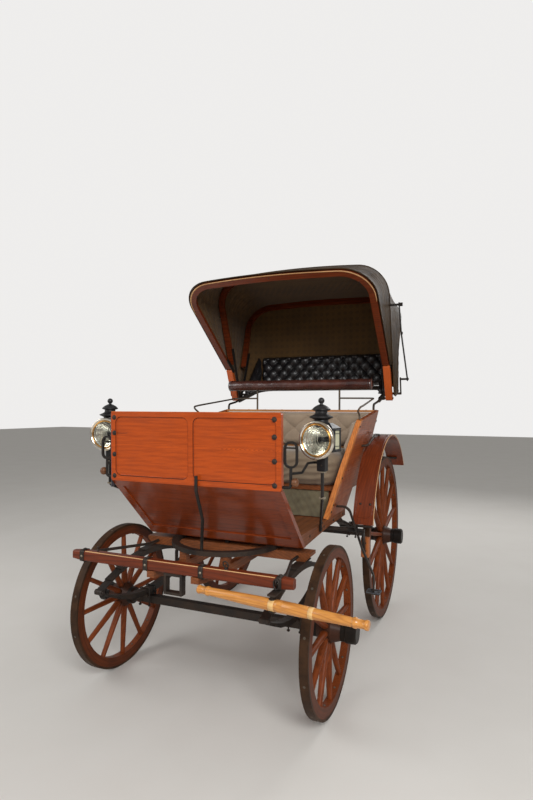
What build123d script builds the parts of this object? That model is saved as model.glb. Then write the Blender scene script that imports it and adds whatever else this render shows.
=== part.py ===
from build123d import *
import os
from math import atan2, cos, degrees, hypot, radians, sin, sqrt

# Open horse-drawn phaeton, millimetres. X is across (+X is the vehicle's left),
# -Y is forwards, +Z is up. The origin is on the floor, below the front axle's middle.

# Wheels
track = 1250
wheelbase = 1370
front_radius = 400
rear_radius = 568
front_spokes = 12
rear_spokes = 14
tread_width = 42
tyre_thickness = 12
felloe_depth = 46
felloe_width = 40
nave_inner = 82
nave_outer = 88
nave_belly = 62
nave_seat = 46
band_thickness = 4
band_width = 24
cap_length = 52
cap_bore = 30
axle_arm = 22
running_gap = 0.08
seat_gap = 0.3
dish = 10

# Axles and springs
axle_bar = 40
collar_width = 12
arm_end = 116
leaf = 7
spring_width = 44
spring_block = 12
spring_seat = 90
front_spring_x = 450
front_spring_half = 410
front_spring_top = 684
rear_spring_x = 400
rear_spring_half = 430
rear_spring_top = 944
eye_radius = 14
leaf_shares = [1.0, 0.82, 0.62, 0.42]

# Forecarriage
kingpin_y = 115
kingpin_radius = 16
ring_radius = 290
ring_width = 36
ring_thickness = 12
transom_half = 500
transom_depth = 90
transom_height = 45
plate_thickness = 6
futchell_x = 120
futchell_width = 40
futchell_height = 44
futchell_knee = -200
splinter_y = -425
splinter_z = 740
splinter_half = 594
splinter_depth = 44
splinter_height = 52
rod = 8

pole_opening = 74
loop_bar = 12
loop_depth = 34

# Swingletree, the only one left of a pair
tree_x = 540
tree_y = -500
tree_z = 668
tree_half = 400
tree_turn = -7
tree_end = 19
tree_inner_end = 18
tree_body = [(0, 26), (0.12, 26), (0.2, 23), (0.86, 16.5)]
bolt_shift = -16
bolt_radius = 8
bracket_thickness = 8

# Body
sill_x = 467
sill_width = 32
sill_front_y = 57
floor_low = 765
floor_under = 785
floor_top = 825
sill_low = 783
sill_high = 825
sill_front_high = 837
post_foot_y = 501
well_end_y = 900
bearer_x = 150
bearer_width = 50
flare = 0.2285
dash_half = 480
dash_low = 1103
dash_top = 1463
dash_y = -290
dash_lean = 9
board = 26
field_depth = 6
field_border = 26
toe_stile = 46
toe_rail = 76
post_width = 44
post_thickness = 30
post_top_y = 806
post_top = 1407
post_knee_y = 645
post_knee = 1120
seat_y = 640
back_foot_y = 1210
seat_back_y = 1246
rail_height = 16
pad_depth = 62
seat_top = 1210
seat_base = 1000
back_top = 1475
panel = 22
boot_y = 1900
boot_front_y = 925
boot_low = 956
boot_top = 1120
rear_seat_y = 1450
rear_cushion_height = 76
rear_rail_z = 1400

# Lazy back
roll_z = 1663
roll_radius = 40
roll_half = 570
standard_x = 330
rail_z = 1563
rail_x = 567
rail_y = 1338

# Hood: bows turn on a pin on each side
hinge_y = 1514
hinge_z = 1567
pin_radius = 8
slat_thickness = 8
slat_width = 28
knee_y = 1406
knee_z = 1796
front_corner_x = 684
front_corner_y = 712
front_corner_z = 2343
bow_thickness = 25
bow_width = 46
bow_corner = 200
bow_arch = 25
stile_x = 647
stile_width = 50
main_angle = 108.6
main_reach = 960
main_leg_x = 635
main_corner_x = 661
rear_angle = 68
rear_reach = 880
rear_leg_x = 625
bow_foot = 300
leg_x = 645
leg_foot = 34
stile_depth = 36
slat_reach = 420
squab_height = 264
squab_depth = 60
squab_inset = 30
wing_front = 1566
knee_length = 120
base_angle = 13.5
base_x = 583
base_reach = 410
base_front = 68
base_corner = 130
base_height = 36
base_thickness = 12
prop_x = 752
prop_thickness = 8
prop_width = 22
prop_reach = 699.5
prop_low = (1690, 1720)
prop_knee = (1386, 2038)
lug_x = 698
lug_depth = 14
cover_thickness = 6
cover_room = 4

# Lamps
lamp_x = 611
lamp_y = -188
lamp_z = 1336
lamp_radius = 92
lamp_depth = 120
lamp_toe = 10
lamp_foot_y = 330
lamp_knee_z = 1056
lantern_width = 132
lantern_height = 112
lantern_front = 38
lantern_back = 130
lantern_roof = 24
lantern_window = 88
window_depth = 3
socket_width = 42
socket_depth = 34
socket_height = 92
bracket_high = 1226
bracket_low_z = 1186
handle_z = 1272
handle_bar = 31

# Fenders, steps, brake
fender_x = 625
fender_width = 130
fender_y = 1400
fender_z = 600
fender_radius = 690
fender_thickness = 12
fender_front = 166.2
fender_rear = 38
crest_angle = 97
tail_angle = 46
stay_clear = 101
stay_start_y = 960
brake_y = 700
brake_z = 735
brake_radius = 12
block_y = 748
block_depth = 40
block_length = 120
brake_block_z = 620
step_x = 700
step_y = 690
step_z = 372


def save(piece, name):
    """Label one finished piece and write it out."""
    piece.part.label = name
    export_step(piece.part, f"parts/{name}.step")


def gather(name, *shapes):
    """Save several shapes as one node; those that touch become one piece."""
    with BuildPart() as made:
        for shape in shapes:
            add(shape)
    save(made, name)


def bar(points, radius, bend=30):
    """Round iron bar along a bent line."""
    with BuildPart() as made:
        with BuildLine() as path:
            if len(points) > 2:
                FilletPolyline(*points, radius=bend)
            else:
                Line(*points)
        with BuildSketch(Plane(origin=path.line @ 0, z_dir=path.line % 0)):
            Circle(radius)
        sweep(path=path.line)
    return made.part


def flat_bar(points, width, thickness, bend, across):
    """Flat bar along a bent line, its width along the direction across."""
    with BuildPart() as made:
        with BuildLine() as path:
            if len(points) > 2:
                FilletPolyline(*points, radius=bend)
            else:
                Line(*points)
        with BuildSketch(Plane(origin=path.line @ 0, x_dir=across, z_dir=path.line % 0)):
            Rectangle(width, thickness)
        sweep(path=path.line)
    return made.part


def slab(points, low, high):
    """Board with an outline in Y and Z, from one X to another."""
    with BuildPart() as made:
        with BuildSketch(Plane.YZ.offset(low)):
            with BuildLine():
                Polyline(*points, close=True)
            make_face()
        extrude(amount=high - low)
    return made.part


def both_sides(*shapes):
    """Left pieces and their mirror images on the right."""
    with BuildPart() as made:
        for shape in shapes:
            add(shape)
        mirror(about=Plane.YZ)
    return made


def side_plane(offset=0):
    """Plane of the flared left side: x along +Y, y up and outwards."""
    slope = hypot(flare, 1)
    return Plane(
        origin=(sill_x, 0, floor_top), x_dir=(0, 1, 0), z_dir=(1 / slope, 0, -flare / slope)
    ).offset(offset)


def side_v(z):
    """Distance up the flared side to a given height."""
    return (z - floor_top) * hypot(flare, 1)


def side_x(z):
    """Half-width of the body at a given height."""
    return sill_x + flare * (z - floor_top)


os.makedirs("parts", exist_ok=True)


# Wheels: turned nave, dished spokes and felloe ring, iron tyre, nave irons
wheel_profile = Plane(origin=(0, 0, 0), x_dir=(1, 0, 0), z_dir=(0, -1, 0))
spoke_root = nave_belly - 12


def wheel_wood(radius, spokes):
    """Wheel wood round the X axis, its outer side towards +X."""
    felloe_out = radius - tyre_thickness
    felloe_in = felloe_out - felloe_depth
    bore = axle_arm + running_gap
    with BuildPart() as wood:
        with BuildSketch(wheel_profile):
            with BuildLine():
                Polyline(
                    (-nave_inner, bore),
                    (-nave_inner, nave_seat - band_thickness),
                    (-nave_inner + band_width, nave_seat - band_thickness),
                    (-nave_inner + band_width, nave_seat),
                    (-dish - 26, nave_belly),
                    (-dish + 26, nave_belly),
                    (nave_outer - band_width, nave_seat),
                    (nave_outer - band_width, nave_seat - band_thickness),
                    (nave_outer, nave_seat - band_thickness),
                    (nave_outer, bore),
                    close=True,
                )
            make_face()
        revolve(axis=Axis.X)
        with BuildSketch(wheel_profile):
            with Locations((0, (felloe_in + felloe_out) / 2)):
                Rectangle(felloe_width, felloe_depth)
        revolve(axis=Axis.X)
        for k in range(spokes):
            turn = radians(360 * k / spokes)
            radial = Vector(0, sin(turn), cos(turn))
            root = Plane(origin=radial * spoke_root - Vector(dish, 0, 0), x_dir=(1, 0, 0), z_dir=radial)
            tip = Plane(origin=radial * (felloe_in + 6), x_dir=(1, 0, 0), z_dir=radial)
            with BuildSketch(root):
                Ellipse(20, 14)
            with BuildSketch(tip):
                Ellipse(13, 12)
            loft()
    return wood.part


def wheel_tyre(radius):
    """Iron tyre round the X axis."""
    with BuildPart() as tyre:
        with BuildSketch(wheel_profile):
            with Locations((0, radius - tyre_thickness / 2)):
                Rectangle(tread_width, tyre_thickness)
        revolve(axis=Axis.X)
    return tyre.part


def nave_irons():
    """Inner nave band, and the outer band with its deep grease cap."""
    band_out = nave_seat
    with BuildPart() as irons:
        with BuildSketch(wheel_profile):
            with Locations((-nave_inner + band_width / 2, band_out - band_thickness / 2)):
                Rectangle(band_width, band_thickness)
        revolve(axis=Axis.X)
        cap_end = nave_outer + cap_length
        with BuildSketch(wheel_profile):
            with BuildLine():
                Polyline(
                    (nave_outer - band_width, band_out - band_thickness),
                    (nave_outer - band_width, band_out + 3),
                    (nave_outer - 4, band_out + 3),
                    (nave_outer, band_out + 7),
                    (cap_end - 8, band_out + 7),
                    (cap_end, band_out),
                    (cap_end, 0),
                    (cap_end - 12, 0),
                    (cap_end - 12, cap_bore),
                    (nave_outer, cap_bore),
                    (nave_outer, band_out - band_thickness),
                    close=True,
                )
            make_face()
        revolve(axis=Axis.X)
    return irons.part


wheel_sets = {
    "front": (wheel_wood(front_radius, front_spokes), wheel_tyre(front_radius), 0, front_radius),
    "rear": (wheel_wood(rear_radius, rear_spokes), wheel_tyre(rear_radius), wheelbase, rear_radius),
}
hub_irons = nave_irons()
for end, (wood, tyre, y, radius) in wheel_sets.items():
    for side, x, turn in (("left", track / 2, 0), ("right", -track / 2, 180)):
        place = Location((x, y, radius), (0, 0, turn))
        for kind, shapes in (("wheel", (wood,)), ("wheel_irons", (tyre, hub_irons))):
            with BuildPart() as placed:
                with Locations(place):
                    add(shapes)
            save(placed, f"{end}_{side}_{kind}")


# Axles: square bar, collars and turned arms
def axle(y, z, block_x):
    """Square axle bar with its collars, round arms and spring blocks."""
    shoulder = track / 2 - nave_inner - seat_gap
    with BuildPart() as made:
        with Locations((0, y, z)):
            Box(2 * (shoulder - collar_width), axle_bar, axle_bar)
        for side in (1, -1):
            with BuildSketch(Plane(origin=(side * (shoulder - collar_width), y, z), z_dir=(side, 0, 0))):
                Circle(nave_seat - 10)
            extrude(amount=collar_width)
            with BuildSketch(Plane(origin=(side * shoulder, y, z), z_dir=(side, 0, 0))):
                Circle(axle_arm)
            extrude(amount=track / 2 + arm_end - shoulder)
            with Locations((side * block_x, y, z + axle_bar / 2 + spring_block / 2)):
                Box(spring_width + 10, spring_seat, spring_block)
    return made


save(axle(0, front_radius, front_spring_x), "front_axle")
save(axle(wheelbase, rear_radius, rear_spring_x), "rear_axle")


def spring_half(x, y, crown, eye_z, half, upward):
    """One half of an elliptic spring: leaves on one centre, the longest inside."""
    inner = abs(crown - eye_z) - leaf * len(leaf_shares)
    bend = (half**2 + inner**2) / (2 * inner)
    centre_z = eye_z + upward * (inner - bend)
    reach = degrees(atan2(half, bend - inner))
    with BuildPart() as made:
        side = Plane(origin=(x - spring_width / 2, y, centre_z), x_dir=(0, 1, 0), z_dir=(1, 0, 0))
        with BuildSketch(side):
            for k, share in enumerate(leaf_shares):
                low = bend + k * leaf
                high = low + leaf
                start, middle, stop = (radians(upward * 90 + turn * reach * share) for turn in (-1, 0, 1))
                with BuildLine():
                    ThreePointArc(*((low * cos(a), low * sin(a)) for a in (start, middle, stop)))
                    Line((low * cos(stop), low * sin(stop)), (high * cos(stop), high * sin(stop)))
                    ThreePointArc(*((high * cos(a), high * sin(a)) for a in (stop, middle, start)))
                    Line((high * cos(start), high * sin(start)), (low * cos(start), low * sin(start)))
                make_face()
        extrude(amount=spring_width)
    return made.part


def springs(x, y, low, high, half, plate):
    """A pair of full elliptic springs with eyes at the ends and a plate on top."""
    eye_z = (low + high) / 2
    halves = [spring_half(x, y, low, eye_z, half, -1), spring_half(x, y, high, eye_z, half, 1)]
    with BuildPart() as made:
        add(halves)
        for end in (1, -1):
            eye_at = (x - spring_width / 2, y + end * half, eye_z)
            with BuildSketch(Plane(origin=eye_at, z_dir=(1, 0, 0))):
                Circle(eye_radius)
            extrude(amount=spring_width)
        plate_y, plate_length, plate_height = plate
        with Locations((x, plate_y, high + plate_height / 2)):
            Box(spring_width + 6, plate_length, plate_height)
        mirror(about=Plane.YZ)
    return made


front_axle_top = front_radius + axle_bar / 2
rear_axle_top = rear_radius + axle_bar / 2
transom_back = kingpin_y + transom_depth / 2
front_plate = (50, 2 * (transom_back - 50), plate_thickness)
rear_plate = (wheelbase, 130, boot_low - rear_spring_top)
front_low = front_axle_top + spring_block
rear_low = rear_axle_top + spring_block
front_pair = springs(front_spring_x, 0, front_low, front_spring_top, front_spring_half, front_plate)
rear_pair = springs(rear_spring_x, wheelbase, rear_low, rear_spring_top, rear_spring_half, rear_plate)
save(front_pair, "front_springs")
save(rear_pair, "rear_springs")


# Forecarriage
transom_low = front_spring_top + plate_thickness
transom_top = transom_low + transom_height

with BuildPart() as transom:
    with BuildSketch(Plane(origin=(0, transom_back, 0), x_dir=(1, 0, 0), z_dir=(0, -1, 0))):
        with BuildLine():
            Polyline(
                (-transom_half, transom_top),
                (-transom_half, transom_top - 18),
                (-transom_half + 30, transom_low),
                (transom_half - 30, transom_low),
                (transom_half, transom_top - 18),
                (transom_half, transom_top),
                close=True,
            )
        make_face()
    extrude(amount=transom_depth)
    with Locations((0, kingpin_y, transom_top)):
        Hole(kingpin_radius + running_gap)
save(transom, "transom")

futchell_back = kingpin_y + ring_radius
with BuildPart() as futchells:
    with BuildSketch(Plane.YZ.offset(futchell_x - futchell_width / 2)):
        with BuildLine():
            Polyline(
                (futchell_back, transom_low),
                (futchell_knee, transom_low),
                (splinter_y - 22, splinter_z - splinter_height / 2),
                (splinter_y - 22, splinter_z - splinter_height / 2 - 30),
                (futchell_knee, transom_low - futchell_height),
                (futchell_back - 30, transom_low - futchell_height),
                (futchell_back, transom_low - 20),
                close=True,
            )
        make_face()
    extrude(amount=futchell_width)
    ring_offset = 0.98 * sqrt(ring_radius**2 - futchell_x**2)
    block_z = transom_low + transom_height / 2
    with Locations(
        (futchell_x, kingpin_y + ring_offset, block_z), (futchell_x, kingpin_y - ring_offset, block_z)
    ):
        Box(futchell_width, ring_width, transom_height)
    mirror(about=Plane.YZ)
save(futchells, "futchells")



def turntable_ring(low):
    """Flat iron ring of the turntable, from its lower face."""
    with BuildPart() as ring:
        with BuildSketch(Plane(origin=(0, kingpin_y, low))):
            Circle(ring_radius + ring_width / 2)
            Circle(ring_radius - ring_width / 2, mode=Mode.SUBTRACT)
        extrude(amount=ring_thickness)
    return ring.part


gather("lower_turntable", turntable_ring(transom_top))
upper_ring_top = transom_top + 2 * ring_thickness + seat_gap

with BuildPart() as splinter_bar:
    with BuildSketch(Plane(origin=(0, splinter_y, splinter_z), x_dir=(0, 1, 0), z_dir=(1, 0, 0))):
        RectangleRounded(splinter_depth, splinter_height, 10)
    extrude(amount=splinter_half - 60, both=True)
    for side in (1, -1):
        root_at = (side * (splinter_half - 60), splinter_y, splinter_z)
        tip_at = (side * splinter_half, splinter_y, splinter_z)
        with BuildSketch(Plane(origin=root_at, x_dir=(0, 1, 0), z_dir=(side, 0, 0))):
            RectangleRounded(splinter_depth, splinter_height, 10)
        with BuildSketch(Plane(origin=tip_at, x_dir=(0, 1, 0), z_dir=(side, 0, 0))):
            RectangleRounded(splinter_depth - 8, splinter_height - 10, 10)
        loft()
save(splinter_bar, "splinter_bar")

# Iron stays from the splinter bar back to the transom
stay_x = 430
stay_z = transom_low + transom_height / 2
stays = both_sides(
    bar(
        [
            (splinter_half - 70, splinter_y + splinter_depth / 2, splinter_z),
            (splinter_half - 70, splinter_y + 80, splinter_z),
            (stay_x, -20, stay_z),
            (stay_x, kingpin_y - transom_depth / 2, stay_z),
        ],
        rod,
        30,
    )
)

# Square iron loop for the pole, under the splinter bar
loop_top = splinter_z - splinter_height / 2
with BuildPart() as pole_loop:
    with Locations((0, splinter_y, loop_top - pole_opening / 2 - loop_bar)):
        Box(pole_opening + 2 * loop_bar, loop_depth, pole_opening + 2 * loop_bar)
        Box(pole_opening, loop_depth, pole_opening, mode=Mode.SUBTRACT)

# Swingletree: a turned bar with end bands, hung on a bolt below a bracket
tree_along = Vector(cos(radians(tree_turn)), sin(radians(tree_turn)), 0)
tree_middle = Vector(tree_x, tree_y, tree_z)
tree_frame = Plane(origin=tree_middle, x_dir=tree_along, z_dir=(-tree_along.Y, tree_along.X, 0))
bolt_at = tree_middle + tree_along * bolt_shift
with BuildPart() as tree:
    with BuildSketch(tree_frame):
        with BuildLine():
            outer_end = [(0.9, tree_end), (1, tree_end)]
            inner_end = [(0.9, tree_inner_end), (1, tree_inner_end)]
            right = [(share * tree_half, -r) for share, r in [*tree_body, *outer_end]]
            left = [(-share * tree_half, -r) for share, r in reversed([*tree_body, *inner_end])]
            Polyline((-tree_half, 0), *left, *right[1:], (tree_half, 0), close=True)
        make_face()
    revolve(axis=Axis(tree_middle, tree_along))
    with Locations((bolt_at.X, bolt_at.Y, tree_z)):
        Cylinder(bolt_radius + running_gap, 4 * tree_body[0][1], mode=Mode.SUBTRACT)
save(tree, "swingletree")

bracket_low = loop_top - bracket_thickness
bolt_low = tree_z - tree_body[0][1] - seat_gap
with BuildPart() as tree_bracket:
    bracket_front = bolt_at.Y - 18
    bracket_back = splinter_y + splinter_depth / 2
    with Locations((bolt_at.X, (bracket_front + bracket_back) / 2, loop_top - bracket_thickness / 2)):
        Box(36, bracket_back - bracket_front, bracket_thickness)
    with BuildSketch(Plane(origin=(bolt_at.X, bolt_at.Y, bolt_low))):
        Circle(bolt_radius)
    extrude(amount=bracket_low - bolt_low)
    with BuildSketch(Plane(origin=(bolt_at.X, bolt_at.Y, bolt_low - 5))):
        RegularPolygon(14, 6)
    extrude(amount=5)
gather("splinter_irons", stays.part, pole_loop.part, tree_bracket.part)


# Body: floor, sills, toe-board and dash
toe_low_y = sill_front_y
toe_low = floor_low - 3
toe_run = dash_y - toe_low_y
toe_climb = dash_low - toe_low
toe_length = hypot(toe_run, toe_climb)
toe_level = board * toe_length / toe_climb


def toe_back(z):
    """Y of the toe-board's hidden face at a height."""
    return toe_low_y + toe_level + (z - toe_low) * toe_run / toe_climb


floor_inner = sill_x - sill_width
floor_high = floor_under + panel
floor_boards = slab(
    [
        (toe_back(floor_under), floor_under),
        (well_end_y, floor_under),
        (well_end_y, floor_high),
        (toe_back(floor_high), floor_high),
    ],
    -floor_inner,
    floor_inner,
)
sills = both_sides(
    slab(
        [
            (toe_back(floor_low), floor_low),
            (post_foot_y, sill_low),
            (well_end_y, sill_low),
            (well_end_y, sill_high),
            (post_foot_y, sill_high),
            (toe_back(sill_front_high), sill_front_high),
        ],
        floor_inner,
        sill_x,
    )
)

toe_plane = Plane(origin=(0, toe_low_y, toe_low), x_dir=(1, 0, 0), z_dir=(0, -toe_climb, toe_run))
toe_top_half = dash_half - 3
with BuildPart() as toe_board:
    with BuildSketch(toe_plane):
        with BuildLine():
            Polyline(
                (-sill_x, -board),
                (sill_x, -board),
                (toe_top_half, toe_length + board),
                (-toe_top_half, toe_length + board),
                close=True,
            )
        make_face()
    extrude(amount=-board)
    with Locations((0, (toe_low_y + dash_y) / 2, (toe_low + dash_low) / 2)):
        Box(4 * sill_x, 4 * sill_x, toe_climb, mode=Mode.INTERSECT)
    with BuildSketch(toe_plane):
        with BuildLine():
            Polyline(
                (-sill_x + toe_stile, toe_rail),
                (sill_x - toe_stile, toe_rail),
                (toe_top_half - toe_stile, toe_length - toe_stile),
                (-toe_top_half + toe_stile, toe_length - toe_stile),
                close=True,
            )
        make_face()
    extrude(amount=-field_depth, mode=Mode.SUBTRACT)
save(toe_board, "toe_board")

dash_height = dash_top - dash_low
dash_plane = Plane(origin=(0, dash_y, dash_low), x_dir=(1, 0, 0), z_dir=(0, -dash_height, -dash_lean))
with BuildPart() as dash:
    with BuildSketch(dash_plane.offset(-board)):
        with Locations((0, dash_height / 2)):
            RectangleRounded(2 * dash_half, dash_height, 10)
    extrude(amount=board)
    field_width = dash_half - 1.5 * field_border
    with BuildSketch(dash_plane):
        with Locations(
            *(((field_width + field_border) / 2 * side, dash_height / 2) for side in (1, -1))
        ):
            RectangleRounded(field_width, dash_height - 2 * field_border, 34)
    extrude(amount=-field_depth, mode=Mode.SUBTRACT)
save(dash, "dash_board")

bearers = both_sides(
    slab(
        [
            (toe_back(upper_ring_top) + 6, upper_ring_top),
            (futchell_back - 10, upper_ring_top),
            (futchell_back - 10, floor_under),
            (toe_back(floor_under) + 6, floor_under),
        ],
        bearer_x - bearer_width / 2,
        bearer_x + bearer_width / 2,
    )
)
gather("floor", floor_boards, sills.part, bearers.part)

with BuildPart() as kingpin:
    with BuildSketch(Plane(origin=(0, kingpin_y, transom_low - 16))):
        Circle(kingpin_radius)
    extrude(amount=floor_under - transom_low + 16)
    with BuildSketch(Plane(origin=(0, kingpin_y, floor_under - 14))):
        Circle(1.6 * kingpin_radius)
    extrude(amount=14)
    with BuildSketch(Plane(origin=(0, kingpin_y, transom_low - 16))):
        RegularPolygon(1.7 * kingpin_radius, 6)
    extrude(amount=16 - seat_gap)
gather("upper_turntable", turntable_ring(transom_top + ring_thickness + seat_gap), kingpin.part)

dash_brace = bar(
    [
        (0, kingpin_y - ring_radius, upper_ring_top),
        (0, kingpin_y - ring_radius, upper_ring_top + 40),
        (40, -238, 930),
        (38, dash_y - 11, dash_low - 20),
        (38, dash_y - 11, dash_low + 50),
    ],
    rod,
    22,
)

# Side posts, leaning back and flaring out
posts = [
    (post_foot_y, sill_high),
    (post_foot_y + post_width, sill_high),
    (post_knee_y + post_width / 2, post_knee),
    (post_top_y + post_width / 2, post_top + 8),
    (post_top_y - post_width / 2, post_top),
    (post_knee_y - post_width / 2, post_knee),
]


def side_board(points, thickness, offset=0):
    """Left board in the flared side, from points given as Y and Z."""
    with BuildPart() as made:
        with BuildSketch(side_plane(offset)):
            with BuildLine():
                Polyline(*((y, side_v(z)) for y, z in points), close=True)
            make_face()
        extrude(amount=-thickness)
    return made.part


save(both_sides(side_board(posts, post_thickness)), "seat_posts")

# Driver's seat
back_reach = back_top - seat_base
back_slant = seat_back_y - back_foot_y


def back_y(z):
    """Y of the front face of the seat's back board."""
    return back_foot_y + back_slant * (z - seat_base) / back_reach


post_edge = post_width / 2 + 2
seat_sides = [
    (post_knee_y + post_edge, post_knee),
    (post_top_y + post_edge, post_top + 8),
    (back_y(back_top) + panel + 4, back_top),
    (back_y(post_knee) + panel + 4, post_knee),
]
save(both_sides(side_board(seat_sides, panel)), "seat_sides")

lower_sides = [
    (post_foot_y + post_width + 2, sill_high),
    (post_knee_y + post_edge, post_knee),
    (boot_y + 15, post_knee),
    (boot_y, boot_low),
    (boot_front_y + 60, boot_low),
    (boot_front_y, sill_high),
]
save(both_sides(side_board(lower_sides, panel)), "lower_sides")

with BuildPart() as seat_front:
    with BuildSketch(Plane(origin=(0, seat_y + panel, 0), x_dir=(1, 0, 0), z_dir=(0, -1, 0))):
        with BuildLine():
            wide = side_x(seat_base - panel) - panel - 2
            Polyline(
                (-floor_inner, floor_high),
                (floor_inner, floor_high),
                (floor_inner, sill_high),
                (wide, seat_base - panel),
                (-wide, seat_base - panel),
                (-floor_inner, sill_high),
                close=True,
            )
        make_face()
    extrude(amount=panel)

with BuildPart() as seat_board:
    seat_half = side_x(seat_base - panel) - panel - 2
    with Locations((0, (seat_y - 20 + back_foot_y + panel) / 2, seat_base - panel / 2)):
        Box(2 * seat_half, back_foot_y + panel - seat_y + 20, panel)
gather("seat_box", seat_front.part, seat_board.part)

back_plane = Plane(origin=(0, back_foot_y, seat_base), x_dir=(1, 0, 0), z_dir=(0, -back_reach, back_slant))
back_low_half = side_x(seat_base) - panel - 2
back_top_half = side_x(back_top - rail_height) - panel - 2
back_length = hypot(back_slant, back_reach)
back_foot = 1.05 * panel * back_slant / back_reach
with BuildPart() as back_board:
    with BuildSketch(back_plane):
        with BuildLine():
            Polyline(
                (-back_low_half, back_foot),
                (back_low_half, back_foot),
                (back_top_half, back_length - rail_height),
                (-back_top_half, back_length - rail_height),
                close=True,
            )
        make_face()
    extrude(amount=-panel)

with BuildPart() as back_rail:
    with Locations((0, back_y(back_top) + panel / 2, back_top - rail_height / 2 + 2)):
        Box(2 * back_top_half + 2, panel + 18, rail_height)
gather("seat_back", back_board.part, back_rail.part)

with BuildPart() as seat_fall:
    with Locations((0, seat_y - 4, (floor_high + seat_base - panel) / 2)):
        Box(2 * floor_inner - 6, 7, seat_base - panel - floor_high - 4)
save(seat_fall, "seat_fall")

cushion_y = (seat_y - 22 + back_foot_y) / 2
cushion_depth = back_foot_y - seat_y + 20
with BuildPart() as cushion:
    with BuildSketch(Plane.XY.offset(seat_base + seat_gap)):
        with Locations((0, cushion_y)):
            RectangleRounded(2 * seat_half - 6, cushion_depth, 30)
    with BuildSketch(Plane.XY.offset(seat_top)):
        with Locations((0, cushion_y)):
            RectangleRounded(2 * (side_x(seat_top) - panel - 10), cushion_depth, 30)
    loft()
save(cushion, "seat_cushion")

pad_low = (seat_top - seat_base) + 6
pad_high = back_length - rail_height - 2
with BuildPart() as back_pad:
    with BuildSketch(back_plane.offset(seat_gap)):
        with BuildLine():
            low = side_x(seat_top) - panel - 44
            high = back_top_half - 40
            Polyline((-low, pad_low), (low, pad_low), (high, pad_high), (-high, pad_high), close=True)
        make_face()
    extrude(amount=pad_depth)

side_pads = [
    (post_top_y - 100, seat_top + 6),
    (post_top_y - 18, post_top - 10),
    (back_y(back_top) - pad_depth - 2, back_top - 20),
    (back_y(seat_top) - pad_depth - 2, seat_top + 6),
]
gather("seat_pads", back_pad.part, both_sides(side_board(side_pads, 34, -post_thickness - seat_gap)).part)

# Lazy back: leather roll on standards, and arm rails
rail_top = back_top + 2
standard_y = back_y(back_top) + panel / 2
with BuildPart() as roll:
    with BuildSketch(Plane(origin=(-roll_half, standard_y, roll_z), z_dir=(1, 0, 0))):
        Circle(roll_radius)
    extrude(amount=2 * roll_half)
save(roll, "lazy_back_roll")

lazy_back = both_sides(
    bar([(standard_x, standard_y, rail_top), (standard_x, standard_y, roll_z - roll_radius - seat_gap)], 7),
    bar(
        [
            (standard_x, standard_y, rail_z),
            (rail_x, rail_y, rail_z),
            (side_x(rail_z) - 32, post_top_y + 20, rail_z - 58),
            (side_x(rail_z) - 34, post_top_y - 84, rail_z - 72),
            (side_x(post_top) - 15, post_top_y - 50, post_top + 62),
            (side_x(post_top) - 15, post_top_y - 4, post_top + 40),
            (side_x(post_top) - 15, post_top_y - 4, post_top + 10),
        ],
        6,
        18,
    ),
)
save(lazy_back, "lazy_back_irons")

# Rear: boot with its foot well, and the low rear seat
boot_step = boot_front_y + 60
boot_end = boot_y - 4
boot_floor_top = boot_low + panel
boot_floor = slab(
    [
        (well_end_y, floor_under),
        (boot_front_y, floor_under),
        (boot_step, boot_low),
        (boot_end, boot_low),
        (boot_end, boot_floor_top),
        (boot_step - 16, boot_floor_top),
        (boot_front_y - 16, floor_high),
        (well_end_y, floor_high),
    ],
    -floor_inner,
    floor_inner,
)


def cross_board(y, low, high, thickness=panel):
    """Upright board between the flared sides, its front face at y."""
    with BuildPart() as made:
        with BuildSketch(Plane(origin=(0, y, 0), x_dir=(1, 0, 0), z_dir=(0, -1, 0))):
            with BuildLine():
                half_low = side_x(low) - panel - 2
                half_high = side_x(high) - panel - 2
                right = [(half_low, low), (half_high, high)]
                Polyline((-half_low, low), *right, (-half_high, high), close=True)
            make_face()
        extrude(amount=-thickness)
    return made.part


with BuildPart() as rear_board:
    with Locations((0, (rear_seat_y + boot_y) / 2, boot_top + panel / 2)):
        Box(2 * (side_x(boot_top) - panel - 2), boot_y - rear_seat_y + 24, panel)
gather(
    "boot",
    boot_floor,
    cross_board(boot_end - panel, boot_floor_top, boot_top),
    cross_board(rear_seat_y, boot_floor_top, boot_top),
    rear_board.part,
)

rear_top = boot_top + panel
with BuildPart() as rear_cushion:
    with BuildSketch(Plane.XY.offset(rear_top + seat_gap)):
        with Locations((0, (rear_seat_y + boot_y) / 2 - 20)):
            RectangleRounded(2 * side_x(boot_top) - 130, boot_y - rear_seat_y - 60, 30)
    extrude(amount=rear_cushion_height)

rear_half = side_x(boot_top) - 70
rear_rail_y = boot_y - 26
with BuildPart() as rear_rail:
    add(
        bar(
            [
                (rear_half + 20, rear_seat_y + 40, rear_top),
                (rear_half + 20, rear_seat_y + 40, rear_rail_z - 90),
                (rear_half + 20, rear_rail_y, rear_rail_z),
                (-rear_half - 20, rear_rail_y, rear_rail_z),
                (-rear_half - 20, rear_seat_y + 40, rear_rail_z - 90),
                (-rear_half - 20, rear_seat_y + 40, rear_top),
            ],
            rod,
            60,
        )
    )
    for x in (-rear_half / 2, rear_half / 2):
        with BuildSketch(Plane(origin=(x, rear_rail_y, rear_top))):
            Circle(rod - 2)
        extrude(amount=rear_rail_z - rear_top)
save(rear_rail, "rear_seat_rail")

with BuildPart() as rear_pad:
    with Locations((0, rear_rail_y - rod - seat_gap - 18, rear_rail_z - 52)):
        Box(2 * rear_half - 130, 36, 104)
gather("rear_seat_pads", rear_cushion.part, rear_pad.part)


# Fenders: boards bent round the rear wheels, with iron stays
def fender_point(angle, radius):
    """Y and Z on the fender's circle, the angle counted up from the rear."""
    return (
        fender_y + radius * cos(radians(angle)),
        fender_z + radius * sin(radians(angle)),
    )


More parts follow.
